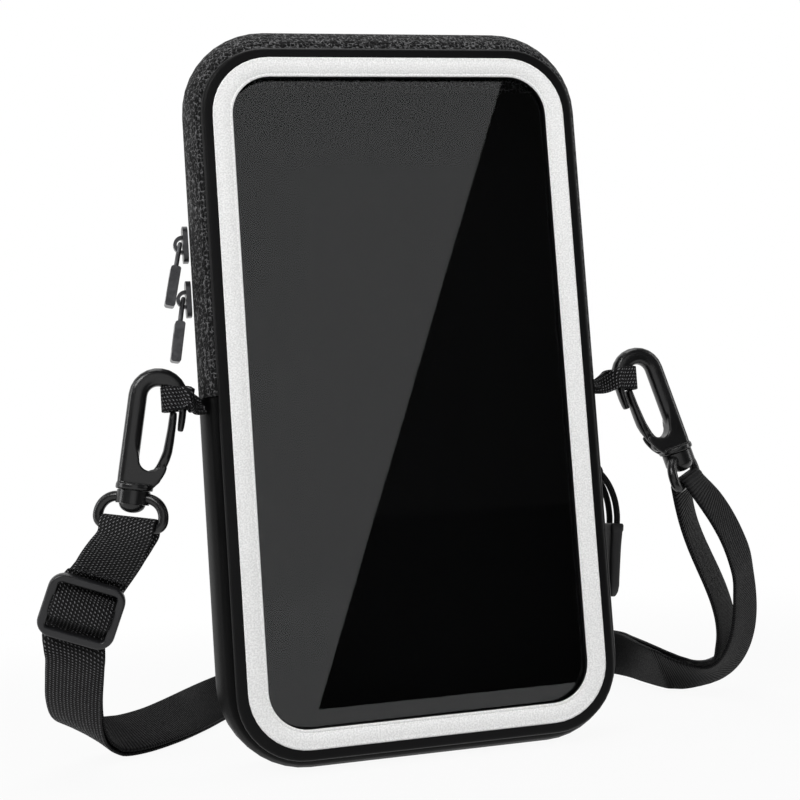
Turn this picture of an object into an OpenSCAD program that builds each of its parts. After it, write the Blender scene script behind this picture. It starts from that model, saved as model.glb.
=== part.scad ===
// Phone pouch with a clear window, a zip round its top half, and a webbing strap on two swivel snap hooks.
// The origin is the middle of the flat bottom, +Z is up, the window faces -Y and the left side is -X.

/* [Pouch shell] */
// Width of the flat front panel
panel_w = 98.6; // [94:0.1:110]
// Height of the flat front panel
panel_h = 179.6; // [170:0.1:200]
// Corner radius of the front panel
panel_r = 17; // [14:0.5:22]
// Thickness of the front frame and of the back panel
panel_t = 1.8; // [1.2:0.1:2.4]
// Depth of the pouch from front frame to back panel
pouch_d = 26; // [24:0.5:34]
// How far the sides swell out past the front panel
side_bulge = 3.7; // [2:0.1:5]
// How far the top swells up past the front panel
top_bulge = 7.5; // [4:0.1:9]
// How far the bottom swells down past the front panel
bottom_bulge = 2.7; // [2:0.1:4]
// Thickness of the padded gusset
gusset_t = 2; // [1.4:0.1:2.6]
// Height of the cross seam, where the zip starts
split_z = 94; // [88:0.5:100]

/* [Window] */
// Outer width of the reflective border
border_w = 93; // [90:0.1:94]
// Outer height of the reflective border
border_h = 174; // [165:0.1:175]
// Outer corner radius of the reflective border
border_r = 15; // [12:0.5:18]
// Width of the reflective band
band_w = 5; // [3.5:0.1:7]
// Thickness of the reflective band
band_t = 0.4; // [0.3:0.1:0.8]
// Thickness of the clear window film
film_t = 0.5; // [0.3:0.1:0.8]
// How far the film reaches behind the frame
film_lap = 2.5; // [1.5:0.1:3.5]
// Thickness of the padded divider
divider_t = 1.2; // [1:0.1:2]
// Height of the divider's free top edge
divider_top = 176; // [160:1:180]

/* [Main zip] */
// Place of the zip line along the depth
zip_y = 3.5; // [3:0.1:4]
// Distance from one tooth to the next
tooth_pitch = 2.4; // [2.2:0.1:4]
// Width of one row of teeth
tooth_w = 1.3; // [1:0.1:1.6]
// Height of a tooth above its cord
tooth_h = 0.8; // [0.5:0.1:1]
// Height of the upper slider's pull pivot
upper_pivot_z = 134.9; // [134:0.1:140]
// Height of the lower slider's pull pivot
lower_pivot_z = 120.6; // [118:0.1:122]

/* [Sliders and pulls] */
// Length of a slider shell
slider_l = 9.4; // [8.5:0.1:10]
// Width of a slider shell
slider_w = 6.2; // [5.6:0.1:6.4]
// Thickness of a slider shell
slider_t = 1.3; // [1:0.1:1.6]
// Wire diameter of a pull's link
link_d = 1.1; // [0.9:0.1:1.2]
// Length of a pull's link
link_l = 7.4; // [6.5:0.1:8]
// Width of a pull's link across its wires
link_w = 3.5; // [3.4:0.1:3.8]
// Length of a pull's tag
tag_l = 10.6; // [9:0.1:11]
// Width of a pull's tag
tag_w = 5; // [4.8:0.1:5]
// Thickness of a pull's tag
tag_t = 2.6; // [2.2:0.1:2.8]
// Rest angle of the upper pull away from the pouch
upper_rest = 12.5; // [12.5:0.5:16]
// Rest angle of the lower pull away from the pouch
lower_rest = 10; // [9:0.5:14]

/* [Side zip] */
// Place of the side zip along the depth
side_zip_y = 4.6; // [4.5:0.1:4.7]
// Lower end of the side zip
side_zip_z0 = 22; // [20:1:30]
// Upper end of the side zip
side_zip_z1 = 74; // [74:1:86]
// Width of the side zip's slot
side_slot_w = 2; // [1.8:0.1:2.2]
// Height of the side slider's cord
side_pivot_z = 68.8; // [66:0.1:70]
// Diameter of the puller's cord
cord_d = 1.8; // [1.4:0.1:2]
// Length of the rubber grip
grip_l = 20; // [16:0.5:22]
// Width of the grip at its top
grip_w = 6.4; // [6:0.1:7]
// Width of the grip at its foot
grip_foot_w = 4.6; // [4:0.1:5.4]

/* [Snap hooks] */
// Bar diameter of a hook
bar_d = 4.7; // [4:0.1:5]
// Radius of the crook along its middle line
crook_r = 5.1; // [5:0.1:5.4]
// Height of the crook's centre above the hook's foot
crook_z = 23.8; // [22:0.1:26]
// Offset of the crook's centre from the swivel axis
crook_x = 3; // [2.8:0.1:3.2]
// Height of the nose tip above the hook's foot
nose_z = 15.7; // [14.5:0.1:17]
// Diameter of the hook's foot flange
flange_d = 9.4; // [9:0.1:10]
// Thickness of the hook's foot flange
flange_t = 2; // [1.6:0.1:2.4]
// Thickness of the gate limb
gate_t = 2.6; // [2.2:0.1:2.8]
// Width of the gate limb
gate_w = 3.6; // [3:0.1:4]
// Height of the gate's tip
gate_top = 19.4; // [18.5:0.1:19.5]
// Lean of the left hook
left_lean = 10.5; // [8:0.5:14]
// Lean of the right hook
right_lean = 16.6; // [14:0.1:18]

/* [Swivel rings] */
// Wire diameter of a ring
ring_d = 2.6; // [2.4:0.1:2.8]
// Inner width of a ring
ring_in = 14.8; // [14.6:0.1:15.4]
// Diameter of the swivel collar
collar_d = 8.3; // [8:0.1:8.6]
// Height of the swivel collar
collar_h = 3.3; // [3:0.1:3.6]
// Drop from the hook's foot to the ring's bar
ring_drop = 9; // [9:0.1:9.6]
// Diameter of the rivet's shank
shank_d = 3.2; // [3:0.1:3.4]

/* [Webbing] */
// Width of the strap
web_w = 14.8; // [14:0.1:14.8]
// Thickness of the strap
web_t = 1; // [0.8:0.1:1]
// Width of the side loops
loop_w = 6.8; // [6:0.1:7]
// Thickness of the side loops
loop_t = 0.9; // [0.7:0.1:0.9]

/* [Strap adjuster] */
// Outer width of the adjuster
glide_w = 19.6; // [19:0.1:20.4]
// Outer height of the adjuster
glide_h = 16.4; // [16:0.1:17]
// Thickness of the adjuster
glide_t = 2.8; // [2.4:0.1:3]
// Height of the adjuster's window
glide_in_h = 12; // [12:0.1:12.4]
// Height of the adjuster's centre bar
glide_bar_h = 3; // [2.6:0.1:3.2]

/* [Hidden] */
$fn = 48;
hull_fn = 32;
// One overrun serves every cut, and one thin slab every hull
over = 1;
thin = 0.1;
// Gap between pieces that part when something moves, and between soft layers
part_gap = 0.3;
layer_gap = 0.2;

// Shell: the swell at each station of the depth, as shares of the half depth and of the bulges
half_d = pouch_d / 2;
gusset_half = half_d - panel_t;
panel_z0 = bottom_bulge;
panel_mid_z = panel_z0 + panel_h / 2;
corner_gain_share = 0.9;
corner_extra = 1.4;
swell_shares = [
    [-1, -0.2, -0.2, -0.2], [-0.85, 0.35, 0.35, 0.45], [-0.5, 0.8, 0.8, 1], [0, 1, 1, 1],
    [0.5, 0.8, 0.8, 1], [0.85, 0.35, 0.35, 0.45], [1, -0.2, -0.2, -0.2]
];
edge_round = 0.8;
divider_y = 6;
side_x = panel_w / 2 + side_bulge;
far_reach = pouch_d + panel_h + panel_w;

// Black, grey and clear finishes
fabric_c = "#1c1c1e";
zip_c = "#151517";
white_c = "#d8d8d6";
metal_c = "#3a3b3e";
plastic_c = "#222326";
web_c = "#18181a";

// A rounded rectangle about the origin
module round_rect(w, h, r) {
    square([w - 2 * r, h], center = true);
    square([w, h - 2 * r], center = true);
    for (sx = [-1, 1], sy = [-1, 1])
        translate([sx * (w / 2 - r), sy * (h / 2 - r)]) circle(r);
}

// An upright plate whose front face is at y0 and whose middle is at height zc
module upright(w, h, r, y0, t, zc) {
    translate([0, y0 + t, zc]) rotate([90, 0, 0]) linear_extrude(t) round_rect(w, h, r);
}

// A thin slice of the swollen shell at one station, drawn in by inset
module slice(s, inset) {
    x_half = panel_w / 2 + side_bulge * s[1] - inset;
    z_top = panel_z0 + panel_h + top_bulge * s[2] - inset;
    z_low = panel_z0 - bottom_bulge * s[3] + inset;
    r = panel_r + corner_extra + side_bulge * corner_gain_share * s[1] - inset;
    upright(2 * x_half, z_top - z_low, r, gusset_half * s[0] - thin * (1 + s[0]) / 2, thin,
            (z_top + z_low) / 2, $fn = hull_fn);
}

// The swollen body, solid, drawn in by inset; reach runs its ends out past the panels
module swell(inset, reach = 0) {
    hull() {
        for (s = swell_shares) translate([0, abs(s[0]) == 1 ? s[0] * reach : 0, 0]) slice(s, inset);
    }
}

module gusset_shell() {
    difference() {
        swell(0);
        swell(gusset_t, over);
    }
}

// Keeps what lies above or below the cross seam
module above_seam() {
    intersection() {
        children();
        translate([-far_reach / 2, -far_reach / 2, split_z + part_gap / 2]) cube([far_reach, far_reach, far_reach]);
    }
}

module below_seam() {
    intersection() {
        children();
        translate([-far_reach / 2, -far_reach / 2, split_z - part_gap / 2 - far_reach])
            cube([far_reach, far_reach, far_reach]);
    }
}

// A panel with its outer edge rounded over, from its inner face at y0 towards dir
module soft_panel(y0, dir) {
    edge_steps = [[0, 0], [0.55, 0], [0.85, 0.35], [1, 1]];
    hull() {
        for (e = edge_steps)
            upright(panel_w - 2 * edge_round * e[1], panel_h - 2 * edge_round * e[1], panel_r - edge_round * e[1],
                    y0 + dir * (panel_t - thin) * e[0] - (dir < 0 ? thin : 0), thin, panel_mid_z, $fn = hull_fn);
    }
}

module front_frame() {
    difference() {
        soft_panel(-gusset_half, -1);
        upright(border_w - 2 * band_w, border_h - 2 * band_w, border_r - band_w,
                -half_d - over, panel_t + 2 * over, panel_mid_z);
    }
}

module reflective_border() {
    difference() {
        upright(border_w, border_h, border_r, -half_d - band_t, band_t, panel_mid_z);
        upright(border_w - 2 * band_w, border_h - 2 * band_w, border_r - band_w,
                -half_d - band_t - over, band_t + 2 * over, panel_mid_z);
    }
}

module window_film() {
    upright(border_w - 2 * band_w + 2 * film_lap, border_h - 2 * band_w + 2 * film_lap, border_r - band_w + film_lap,
            -gusset_half, film_t, panel_mid_z);
}

module front_frame_lower() { color(fabric_c) below_seam() front_frame(); }
module front_frame_upper() { color(fabric_c) above_seam() front_frame(); }
module reflective_border_lower() { color(white_c) below_seam() reflective_border(); }
module reflective_border_upper() { color(white_c) above_seam() reflective_border(); }
module window_film_lower() { color("lightblue", 0.3) below_seam() window_film(); }
module window_film_upper() { color("lightblue", 0.3) above_seam() window_film(); }

module lower_gusset() {
    color(fabric_c) difference() {
        below_seam() gusset_shell();
        translate([0, side_zip_y - side_slot_w / 2, side_zip_z0])
            cube([side_x + over, side_slot_w, side_zip_z1 - side_zip_z0]);
    }
}

// The two halves of the zip gusset part along the zip line
module zip_gusset_front() {
    color(zip_c) intersection() {
        above_seam() gusset_shell();
        translate([-far_reach / 2, zip_y - part_gap / 2 - far_reach, 0]) cube([far_reach, far_reach, far_reach]);
    }
}

module zip_gusset_rear() {
    color(zip_c) intersection() {
        above_seam() gusset_shell();
        translate([-far_reach / 2, zip_y + part_gap / 2, 0]) cube([far_reach, far_reach, far_reach]);
    }
}

// Teeth: they follow the inside of the gusset at the zip line, up one side, over the top and down the other
front_row_share = 0.88;
rear_row_share = 0.82;
tooth_l = tooth_pitch / 2;
tooth_cord_t = 0.7;

module tooth() {
    translate([-tooth_cord_t - tooth_h, 0, -tooth_l / 2]) cube([tooth_h + tooth_cord_t / 2, tooth_w, tooth_l]);
}

module tooth_row(y0, share) {
    row_x = panel_w / 2 + side_bulge * share - gusset_t;
    row_top = panel_z0 + panel_h + top_bulge * share - gusset_t;
    row_r = panel_r + corner_extra + side_bulge * corner_gain_share * share - gusset_t;
    straight_n = floor((row_top - row_r - split_z - part_gap) / tooth_pitch);
    corner_n = round(row_r * PI / 2 / tooth_pitch);
    top_n = floor((row_x - row_r) / tooth_pitch);
    loop_h = row_top - split_z + 2 * row_r;
    difference() {
        upright(2 * row_x, loop_h, row_r, y0, tooth_w, row_top - loop_h / 2);
        upright(2 * (row_x - tooth_cord_t), loop_h - 2 * tooth_cord_t, row_r - tooth_cord_t,
                y0 - over, tooth_w + 2 * over, row_top - loop_h / 2);
        translate([-far_reach / 2, -far_reach / 2, split_z + part_gap / 2 - far_reach])
            cube([far_reach, far_reach, far_reach]);
    }
    for (side = [0, 1]) mirror([side, 0, 0]) translate([0, y0, 0]) {
        for (i = [0 : straight_n - 1])
            translate([row_x, 0, row_top - row_r - (i + 0.5) * tooth_pitch]) tooth();
        for (i = [0 : corner_n - 1])
            translate([row_x - row_r, 0, row_top - row_r]) rotate([0, -(i + 0.5) * 90 / corner_n, 0])
                translate([row_r, 0, 0]) tooth();
        for (i = [0 : top_n - 1])
            translate([row_x - row_r - (i + 0.5) * tooth_pitch, 0, row_top]) rotate([0, -90, 0]) tooth();
    }
}

module zip_teeth_front() { color(metal_c) tooth_row(zip_y - part_gap / 2 - tooth_w, front_row_share); }
module zip_teeth_rear() { color(metal_c) tooth_row(zip_y + part_gap / 2, rear_row_share); }

module back_panel() { color(fabric_c) soft_panel(gusset_half, 1); }

// The padded divider fills the inside of the shell, up to its free top edge
module divider_panel() {
    color(fabric_c) intersection() {
        swell(gusset_t + part_gap);
        translate([-far_reach / 2, divider_y, divider_top - far_reach]) cube([far_reach, divider_t, far_reach]);
    }
}

// Slider: a shell on the tape with a bridge for the pull. Its own X points away from the pouch
bridge_in = 1.5;
bridge_t = 0.9;
bridge_w = 1.8;
pivot_x = slider_t + 0.2 + link_d / 2;
slider_seat = part_gap;

module slider(fit_w = slider_w) {
    rotate([90, 0, 90]) linear_extrude(slider_t) {
        round_rect(fit_w, slider_l, fit_w / 3);
    }
    intersection() {
        rotate([90, 0, 0]) translate([slider_t, 0, -bridge_w / 2]) difference() {
            cylinder(r = bridge_in + bridge_t, h = bridge_w);
            translate([0, 0, -over]) cylinder(r = bridge_in, h = bridge_w + 2 * over);
        }
        translate([slider_t / 2, -slider_w, -slider_l / 2]) cube([slider_l, 2 * slider_w, slider_l]);
    }
}

// Pull: a wire link on the bridge and a flat tag that holds its lower end. It hangs along its own -Z
module pull_link() {
    half = link_w / 2;
    for (side = [-1, 1]) {
        translate([0, side * half, -link_l]) cylinder(d = link_d, h = link_l);
        translate([0, side * half, 0]) sphere(d = link_d);
        translate([0, side * half, -link_l]) sphere(d = link_d);
    }
    for (z = [0, -link_l])
        translate([0, half, z]) rotate([90, 0, 0]) cylinder(d = link_d, h = link_w);
}

tag_corner = 0.7;
tag_lap = 1.6;
tag_recess = 0.3;
recess_w_share = 0.46;
recess_h_share = 0.42;
link_clear = 0.15;

module pull_tag() {
    top_z = -link_l + tag_lap;
    difference() {
        translate([0, tag_w / 2, top_z - tag_l / 2]) rotate([90, 0, 0])
            linear_extrude(tag_w) round_rect(tag_t, tag_l, tag_corner);
        translate([tag_t / 2 - tag_recess, -tag_w * recess_w_share / 2, top_z - tag_l * (1 + recess_h_share) / 2])
            cube([tag_recess + over, tag_w * recess_w_share, tag_l * recess_h_share]);
        // Seat of the link's wires
        for (side = [-1, 1])
            translate([0, side * link_w / 2, -link_l])
                cylinder(d = link_d + 2 * link_clear, h = tag_lap + over);
        translate([0, link_w / 2 + link_d / 2 + link_clear, -link_l]) rotate([90, 0, 0])
            cylinder(d = link_d + 2 * link_clear, h = link_w + link_d + 2 * link_clear);
    }
}

module on_left_zip(z) {
    translate([-side_x - slider_seat, zip_y, z]) rotate([0, 0, 180]) children();
}

module hung(z, rest) {
    on_left_zip(z) translate([pivot_x, 0, 0]) rotate([0, -rest, 0]) children();
}

module upper_slider() { color(metal_c) on_left_zip(upper_pivot_z) slider(); }
module upper_pull_link() { color(metal_c) hung(upper_pivot_z, upper_rest) pull_link(); }
module upper_pull_tag() { color(metal_c) hung(upper_pivot_z, upper_rest) pull_tag(); }
module lower_slider() { color(metal_c) on_left_zip(lower_pivot_z) slider(); }
module lower_pull_link() { color(metal_c) hung(lower_pivot_z, lower_rest) pull_link(); }
module lower_pull_tag() { color(metal_c) hung(lower_pivot_z, lower_rest) pull_tag(); }

// Side zip: closed teeth on a tape behind the slot, and a slider with a cord puller
side_swell_share = 0.836;
side_tape_t = 0.8;
side_tape_w = side_slot_w + 0.4;
side_slope = 7.5;
side_skin_x = panel_w / 2 + side_bulge * side_swell_share;
side_tape_x = side_skin_x - gusset_t - side_tape_t + 0.15;
side_tooth_n = floor((side_zip_z1 - side_zip_z0) / tooth_pitch);
side_shell_w = 4.6;
cord_spread = 2;
cord_drop = 16;
cord_hang = 13.5;
cord_seat = 0.75;
grip_turn = 20;

module side_zip_teeth() {
    color(metal_c) {
        translate([side_tape_x, side_zip_y - side_tape_w / 2, side_zip_z0 - side_slot_w])
            cube([side_tape_t, side_tape_w, side_zip_z1 - side_zip_z0 + 2 * side_slot_w]);
        for (i = [0 : side_tooth_n - 1])
            translate([side_tape_x + side_tape_t / 2, side_zip_y - side_slot_w / 2 + layer_gap,
                       side_zip_z0 + i * tooth_pitch + tooth_l / 2])
                cube([side_skin_x - gusset_t / 2 - side_tape_x, side_slot_w - 2 * layer_gap, tooth_l]);
    }
}

module on_side_zip() {
    translate([side_skin_x, side_zip_y, side_pivot_z]) rotate([0, 0, side_slope])
        translate([2 * part_gap, 0, 0]) children();
}

module side_slider() {
    color(metal_c) on_side_zip() slider(side_shell_w);
}

module cord_place() {
    on_side_zip() translate([slider_t + cord_seat, 0, 0]) rotate([0, -cord_hang, 0]) children();
}

// The loop of cord passes through the bridge and both strands run down into the grip
module side_pull_cord() {
    color(fabric_c) cord_place() {
        for (side = [-1, 1])
            translate([0, side * cord_spread, -cord_drop]) cylinder(d = cord_d * 0.8, h = cord_drop);
        for (side = [-1, 1])
            translate([0, side * cord_spread, 0]) sphere(d = cord_d * 0.8);
        translate([0, cord_spread, 0]) rotate([90, 0, 0]) cylinder(d = cord_d * 0.8, h = 2 * cord_spread);
    }
}

grip_t = 4;
grip_lap = 1.2;

// Stations of the grip from its top down: share of the length, thickness and width
grip_stations = [[0.005, grip_t, grip_w], [0.3, grip_t * 0.85, grip_w * 0.84], [0.85, grip_t * 0.8, grip_foot_w],
                 [1, grip_t * 0.5, grip_foot_w * 0.6]];

module side_pull_grip() {
    color(fabric_c) cord_place() difference() {
        translate([0, 0, -cord_drop]) rotate([0, grip_turn, 0]) hull() {
            for (g = grip_stations)
                translate([0, 0, grip_lap - grip_l * g[0]]) linear_extrude(thin)
                    round_rect(g[1], g[2], g[1] / 4, $fn = 24);
        }
        for (side = [-1, 1])
            translate([0, side * cord_spread, -cord_drop - layer_gap])
                cylinder(d = cord_d * 0.8 + 2 * layer_gap, h = grip_lap + 2 * over);
    }
}

// Snap hooks. Each stands on its own foot: +Z runs up the spine and +X points to the pouch
left_hook_pos = [-70.7, -3.5, 72.2];
right_hook_pos = [77, 0, 73];
left_ring_yaw = -25;
right_ring_yaw = -45;
spine_x = crook_x - crook_r;
gate_out_x = crook_x + crook_r + 0.1;
gate_clear = 0.3;
knuckle_x = 4.2;
knuckle_z = 3.6;
knuckle_d = 3.2;
block_d = 5.4;
block_h = 5.6;

module at_left_hook() { translate(left_hook_pos) rotate([0, left_lean, 0]) children(); }
module at_right_hook() { translate(right_hook_pos) mirror([1, 0, 0]) rotate([0, right_lean, 0]) children(); }

module hook_frame() {
    difference() {
        union() {
            translate([spine_x, 0, flange_t / 2]) cylinder(d = bar_d, h = crook_z - flange_t / 2);
            translate([crook_x, 0, crook_z]) rotate([90, 0, 0]) rotate_extrude(angle = 180)
                translate([crook_r, 0]) circle(d = bar_d);
            translate([crook_x + crook_r, 0, nose_z]) cylinder(d = bar_d, h = crook_z - nose_z);
            cylinder(d = flange_d, h = flange_t);
            // The body tapers from the flange to a flat oval that carries the spine and the gate's knuckle
            hull() {
                translate([0, 0, flange_t / 2]) cylinder(d = flange_d - 2 * edge_round, h = flange_t / 2);
                for (x = [spine_x, knuckle_x - edge_round])
                    translate([x, 0, block_h - thin]) cylinder(d = x < 0 ? bar_d : block_d, h = thin);
            }
        }
        // Seat of the gate's tip behind the nose
        translate([gate_out_x + gate_clear - bar_d, -bar_d, nose_z - over])
            cube([bar_d, 2 * bar_d, gate_top + gate_clear - nose_z + over]);
        // Socket of the gate's knuckle, open to the gate's side
        translate([knuckle_x, gate_w / 2 + gate_clear, knuckle_z]) rotate([90, 0, 0])
            cylinder(d = knuckle_d + 2 * gate_clear, h = gate_w + 2 * gate_clear);
        translate([knuckle_x - knuckle_d / 2 - gate_clear, -gate_w / 2 - gate_clear, knuckle_z])
            cube([flange_d, gate_w + 2 * gate_clear, block_h]);
        // Seat of the rivet's shank
        translate([0, 0, -over]) cylinder(d = shank_d, h = flange_t + over);
    }
}

// Gate: a knuckle in the foot, a curved root and a straight limb that ends behind the nose
root_drop = 4.4;
root_run = gate_out_x - gate_t / 2 - knuckle_x;
root_angle = 2 * atan(root_run / root_drop);
root_r = root_drop / sin(root_angle);
limb_z = knuckle_z + root_drop;

gate_steps = 12;
function arc_points(mid, r, from, to) =
    [for (i = [0 : gate_steps]) let (t = from + (to - from) * i / gate_steps) mid + r * [cos(t), sin(t)]];

module gate() {
    limb_x = gate_out_x - gate_t / 2;
    root_mid = [limb_x - root_r, limb_z];
    translate([0, gate_w / 2, 0]) rotate([90, 0, 0]) linear_extrude(gate_w) {
        polygon(concat(arc_points(root_mid, root_r + gate_t / 2, -root_angle, 0),
                       arc_points([limb_x, gate_top - gate_t / 2], gate_t / 2, 0, 180),
                       arc_points(root_mid, root_r - gate_t / 2, 0, -root_angle)));
        translate([knuckle_x, knuckle_z]) circle(d = knuckle_d);
    }
}

// Rivet: its shank holds the collar to the hook and its domed head shows inside the ring
head_d = 6.4;
head_h = 2.1;
swivel_gap = 0.15;
head_ball_r = (head_h * head_h + head_d * head_d / 4) / (2 * head_h);

module rivet() {
    head_z = -collar_h - 2 * swivel_gap;
    translate([0, 0, head_z - thin]) cylinder(d = shank_d, h = flange_t - head_z + thin);
    intersection() {
        translate([0, 0, head_z + head_ball_r - head_h]) sphere(r = head_ball_r);
        translate([-head_d, -head_d, head_z - 2 * head_h]) cube([2 * head_d, 2 * head_d, 2 * head_h]);
    }
}

// Ring: a round-cornered wire loop with the swivel collar in its top
shank_clear = 0.08;
ring_half = ring_in / 2 + ring_d / 2;
ring_top_z = -collar_h / 2 - swivel_gap;
top_corner = 4.8;
low_corner = 2.1;

module ring() {
    corners = [[ring_top_z, top_corner, -1], [-ring_drop, low_corner, 1]];
    difference() {
        union() {
            translate([0, 0, -collar_h - swivel_gap]) cylinder(d = collar_d, h = collar_h);
            for (c = corners) {
                translate([-ring_half + c[1], 0, c[0]]) rotate([0, 90, 0])
                    cylinder(d = ring_d, h = 2 * (ring_half - c[1]));
                for (side = [0, 1]) mirror([side, 0, 0])
                    translate([ring_half - c[1], 0, c[0] + c[2] * c[1]]) rotate([90, 0, 0])
                        rotate([0, 0, c[2] < 0 ? 0 : -90])
                            rotate_extrude(angle = 90) translate([c[1], 0]) circle(d = ring_d);
            }
            for (side = [-1, 1])
                translate([side * ring_half, 0, -ring_drop + low_corner])
                    cylinder(d = ring_d, h = ring_drop + ring_top_z - low_corner - top_corner);
        }
        translate([0, 0, -collar_h - swivel_gap - over])
            cylinder(d = shank_d + 2 * shank_clear, h = collar_h + 2 * over);
        // The head's side of the collar stays flat, so the wire ends at the collar
        translate([0, 0, -collar_h - swivel_gap - over]) cylinder(d = collar_d - 2 * over, h = over);
    }
}

// The strap's turn over a ring's bar
turn_in = ring_d / 2 + layer_gap;
turn_leg = 1.4;
turn_w = web_w - 0.9;

module strap_turn() {
    translate([-turn_w / 2, 0, -ring_drop]) rotate([90, 0, 90]) linear_extrude(turn_w) {
        difference() {
            union() {
                circle(r = turn_in + web_t);
                translate([-turn_in - web_t, -turn_leg]) square([2 * (turn_in + web_t), turn_leg]);
            }
            circle(r = turn_in);
            translate([-turn_in, -turn_leg - over]) square([2 * turn_in, turn_leg + over]);
            translate([-2 * turn_in - web_t, -turn_leg - 2 * turn_in]) square([4 * turn_in + 2 * web_t, 2 * turn_in]);
        }
    }
}

module left_hook_frame() { color(plastic_c) at_left_hook() hook_frame(); }
module right_hook_frame() { color(plastic_c) at_right_hook() hook_frame(); }
module left_gate() { color(plastic_c) at_left_hook() gate(); }
module right_gate() { color(plastic_c) at_right_hook() gate(); }
module left_rivet() { color(metal_c) at_left_hook() rivet(); }
module right_rivet() { color(metal_c) at_right_hook() rivet(); }
module left_ring() { color(plastic_c) at_left_hook() rotate([0, 0, left_ring_yaw]) ring(); }
module right_ring() { color(plastic_c) at_right_hook() rotate([0, 0, right_ring_yaw]) ring(); }
module left_strap_turn() { color(web_c) at_left_hook() rotate([0, 0, left_ring_yaw]) strap_turn(); }
module right_strap_turn() { color(web_c) at_right_hook() rotate([0, 0, right_ring_yaw]) strap_turn(); }

// Ribbons: a route is a list of [middle, width direction], smoothed and swept as a flat band
function unit(v) = v / norm(v);
function clampi(i, n) = max(0, min(n - 1, i));
function mix4(a, b, c, d, t) =
    0.5 * (2 * b + (c - a) * t + (2 * a - 5 * b + 4 * c - d) * t * t + (3 * b - 3 * c + d - a) * t * t * t);
function smooth(route, steps) = [
    for (i = [0 : len(route) - 2], k = [0 : steps - 1])
        let (n = len(route), t = k / steps,
             a = route[clampi(i - 1, n)], b = route[i], c = route[i + 1], d = route[clampi(i + 2, n)])
            [mix4(a[0], b[0], c[0], d[0], t), mix4(a[1], b[1], c[1], d[1], t)],
    route[len(route) - 1]
];
function tangent(line, i) = unit(line[clampi(i + 1, len(line))][0] - line[clampi(i - 1, len(line))][0]);
// The ends keep the width direction they are sewn to, and the webbing shears towards it over a few steps
function hold(i, n) = min(1, i / 6, (n - 1 - i) / 6);
function across(line, i) =
    let (t = tangent(line, i), w = line[i][1]) unit(w - hold(i, len(line)) * (w * t) * t);
function facing(line, i) = unit(cross(tangent(line, i), across(line, i)));
function shifted(line, d) = [for (i = [0 : len(line) - 1]) [line[i][0] + d * facing(line, i), line[i][1]]];

module ribbon(line, w, t, pinch = 0) {
    n = len(line);
    reach = [for (i = [0 : n - 1]) w / 2 * (1 - pinch * sin(180 * i / (n - 1)))];
    corner_signs = [[-1, -1], [1, -1], [1, 1], [-1, 1]];
    points = [
        for (i = [0 : n - 1], c = corner_signs)
            line[i][0] + across(line, i) * reach[i] * c[0] + facing(line, i) * t / 2 * c[1]
    ];
    sides = [
        for (i = [0 : n - 2], k = [0 : 3]) let (a = 4 * i + k, b = 4 * i + (k + 1) % 4)
            each [[a, b, b + 4], [a, b + 4, a + 4]]
    ];
    ends = [[3, 2, 1], [3, 1, 0], [4 * n - 4, 4 * n - 3, 4 * n - 2], [4 * n - 4, 4 * n - 2, 4 * n - 1]];
    polyhedron(points, concat(sides, ends));
}

// Side loops: from a seat sewn at the cross seam, round the crook's end and back
loop_root_y = -5;
foot_share = 0.45;
function loop_line(root, nose) = let (
    lead = unit([nose[0] - root[0], 0, 0]), gone = abs(nose[0] - root[0]),
    side_y = bar_d / 2 + 0.75, up = [0, 0, 1]) [
        [root + [0, 0, -1.3], [0, 1, 0]],
        [root + lead * gone * foot_share + [0, (nose[1] - root[1]) * foot_share - 1.2, -0.6], [0, 0.95, 0.25]],
        [[root[0], nose[1], nose[2]] + lead * (gone - 2.2) + [0, -side_y - 0.95, -0.1], [0, 0.1, 1]],
        [nose + [0, -side_y, 0], up],
        [nose + lead * 2.6 + [0, -side_y + 0.3, 0], up],
        [nose + lead * 4.1 + [0, -side_y + 1.9, 0], up],
        [nose + lead * 4.1 + [0, side_y - 1.9, 0], up],
        [nose + lead * 2.6 + [0, side_y - 0.3, 0], up],
        [nose + [0, side_y, 0], up],
        [[root[0], nose[1], nose[2]] + lead * (gone - 2.2) + [0, side_y + 0.95, 0.1], [0, 0.1, 1]],
        [root + lead * gone * foot_share + [0, (nose[1] - root[1]) * foot_share + 1.2, 0.9], [0, 0.95, 0.25]],
        [root + [0, 0, 0], [0, 1, 0]]
    ];

left_nose = [-58.1, left_hook_pos[1], 94.4];
right_nose = [62, right_hook_pos[1], 94];
loop_root_x = side_x - gusset_t * 0.7;
left_root = [-loop_root_x, loop_root_y, split_z - 2.4];
right_root = [loop_root_x, loop_root_y + 2, split_z - 2.4];
loop_pinch = 0.2;

module left_loop() {
    color(web_c) ribbon(smooth(loop_line(left_root, left_nose), 3), loop_w, loop_t, loop_pinch);
}
module right_loop() {
    color(web_c) ribbon(smooth(loop_line(right_root, right_nose), 3), loop_w, loop_t, loop_pinch);
}

// Adjuster: its own X runs across the strap and its own Z up the strap
glide_pos = [-85, 3, 43];
glide_tilt = 11;
glide_lean = 21;
glide_r = 4;
glide_in_w = web_w + 0.6;
glide_bar_t = 1.4;
glide_bar_y = 0.2;

module at_glide() { translate(glide_pos) rotate([glide_tilt, glide_lean, 0]) children(); }

module strap_adjuster() {
    color(plastic_c) at_glide() {
        rotate([90, 0, 0]) translate([0, 0, -glide_t / 2]) linear_extrude(glide_t) difference() {
            round_rect(glide_w, glide_h, glide_r);
            round_rect(glide_in_w, glide_in_h, glide_r / 5);
        }
        translate([-glide_in_w / 2 - thin, glide_bar_y, -glide_bar_h / 2])
            cube([glide_in_w + 2 * thin, glide_bar_t, glide_bar_h]);
    }
}

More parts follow.
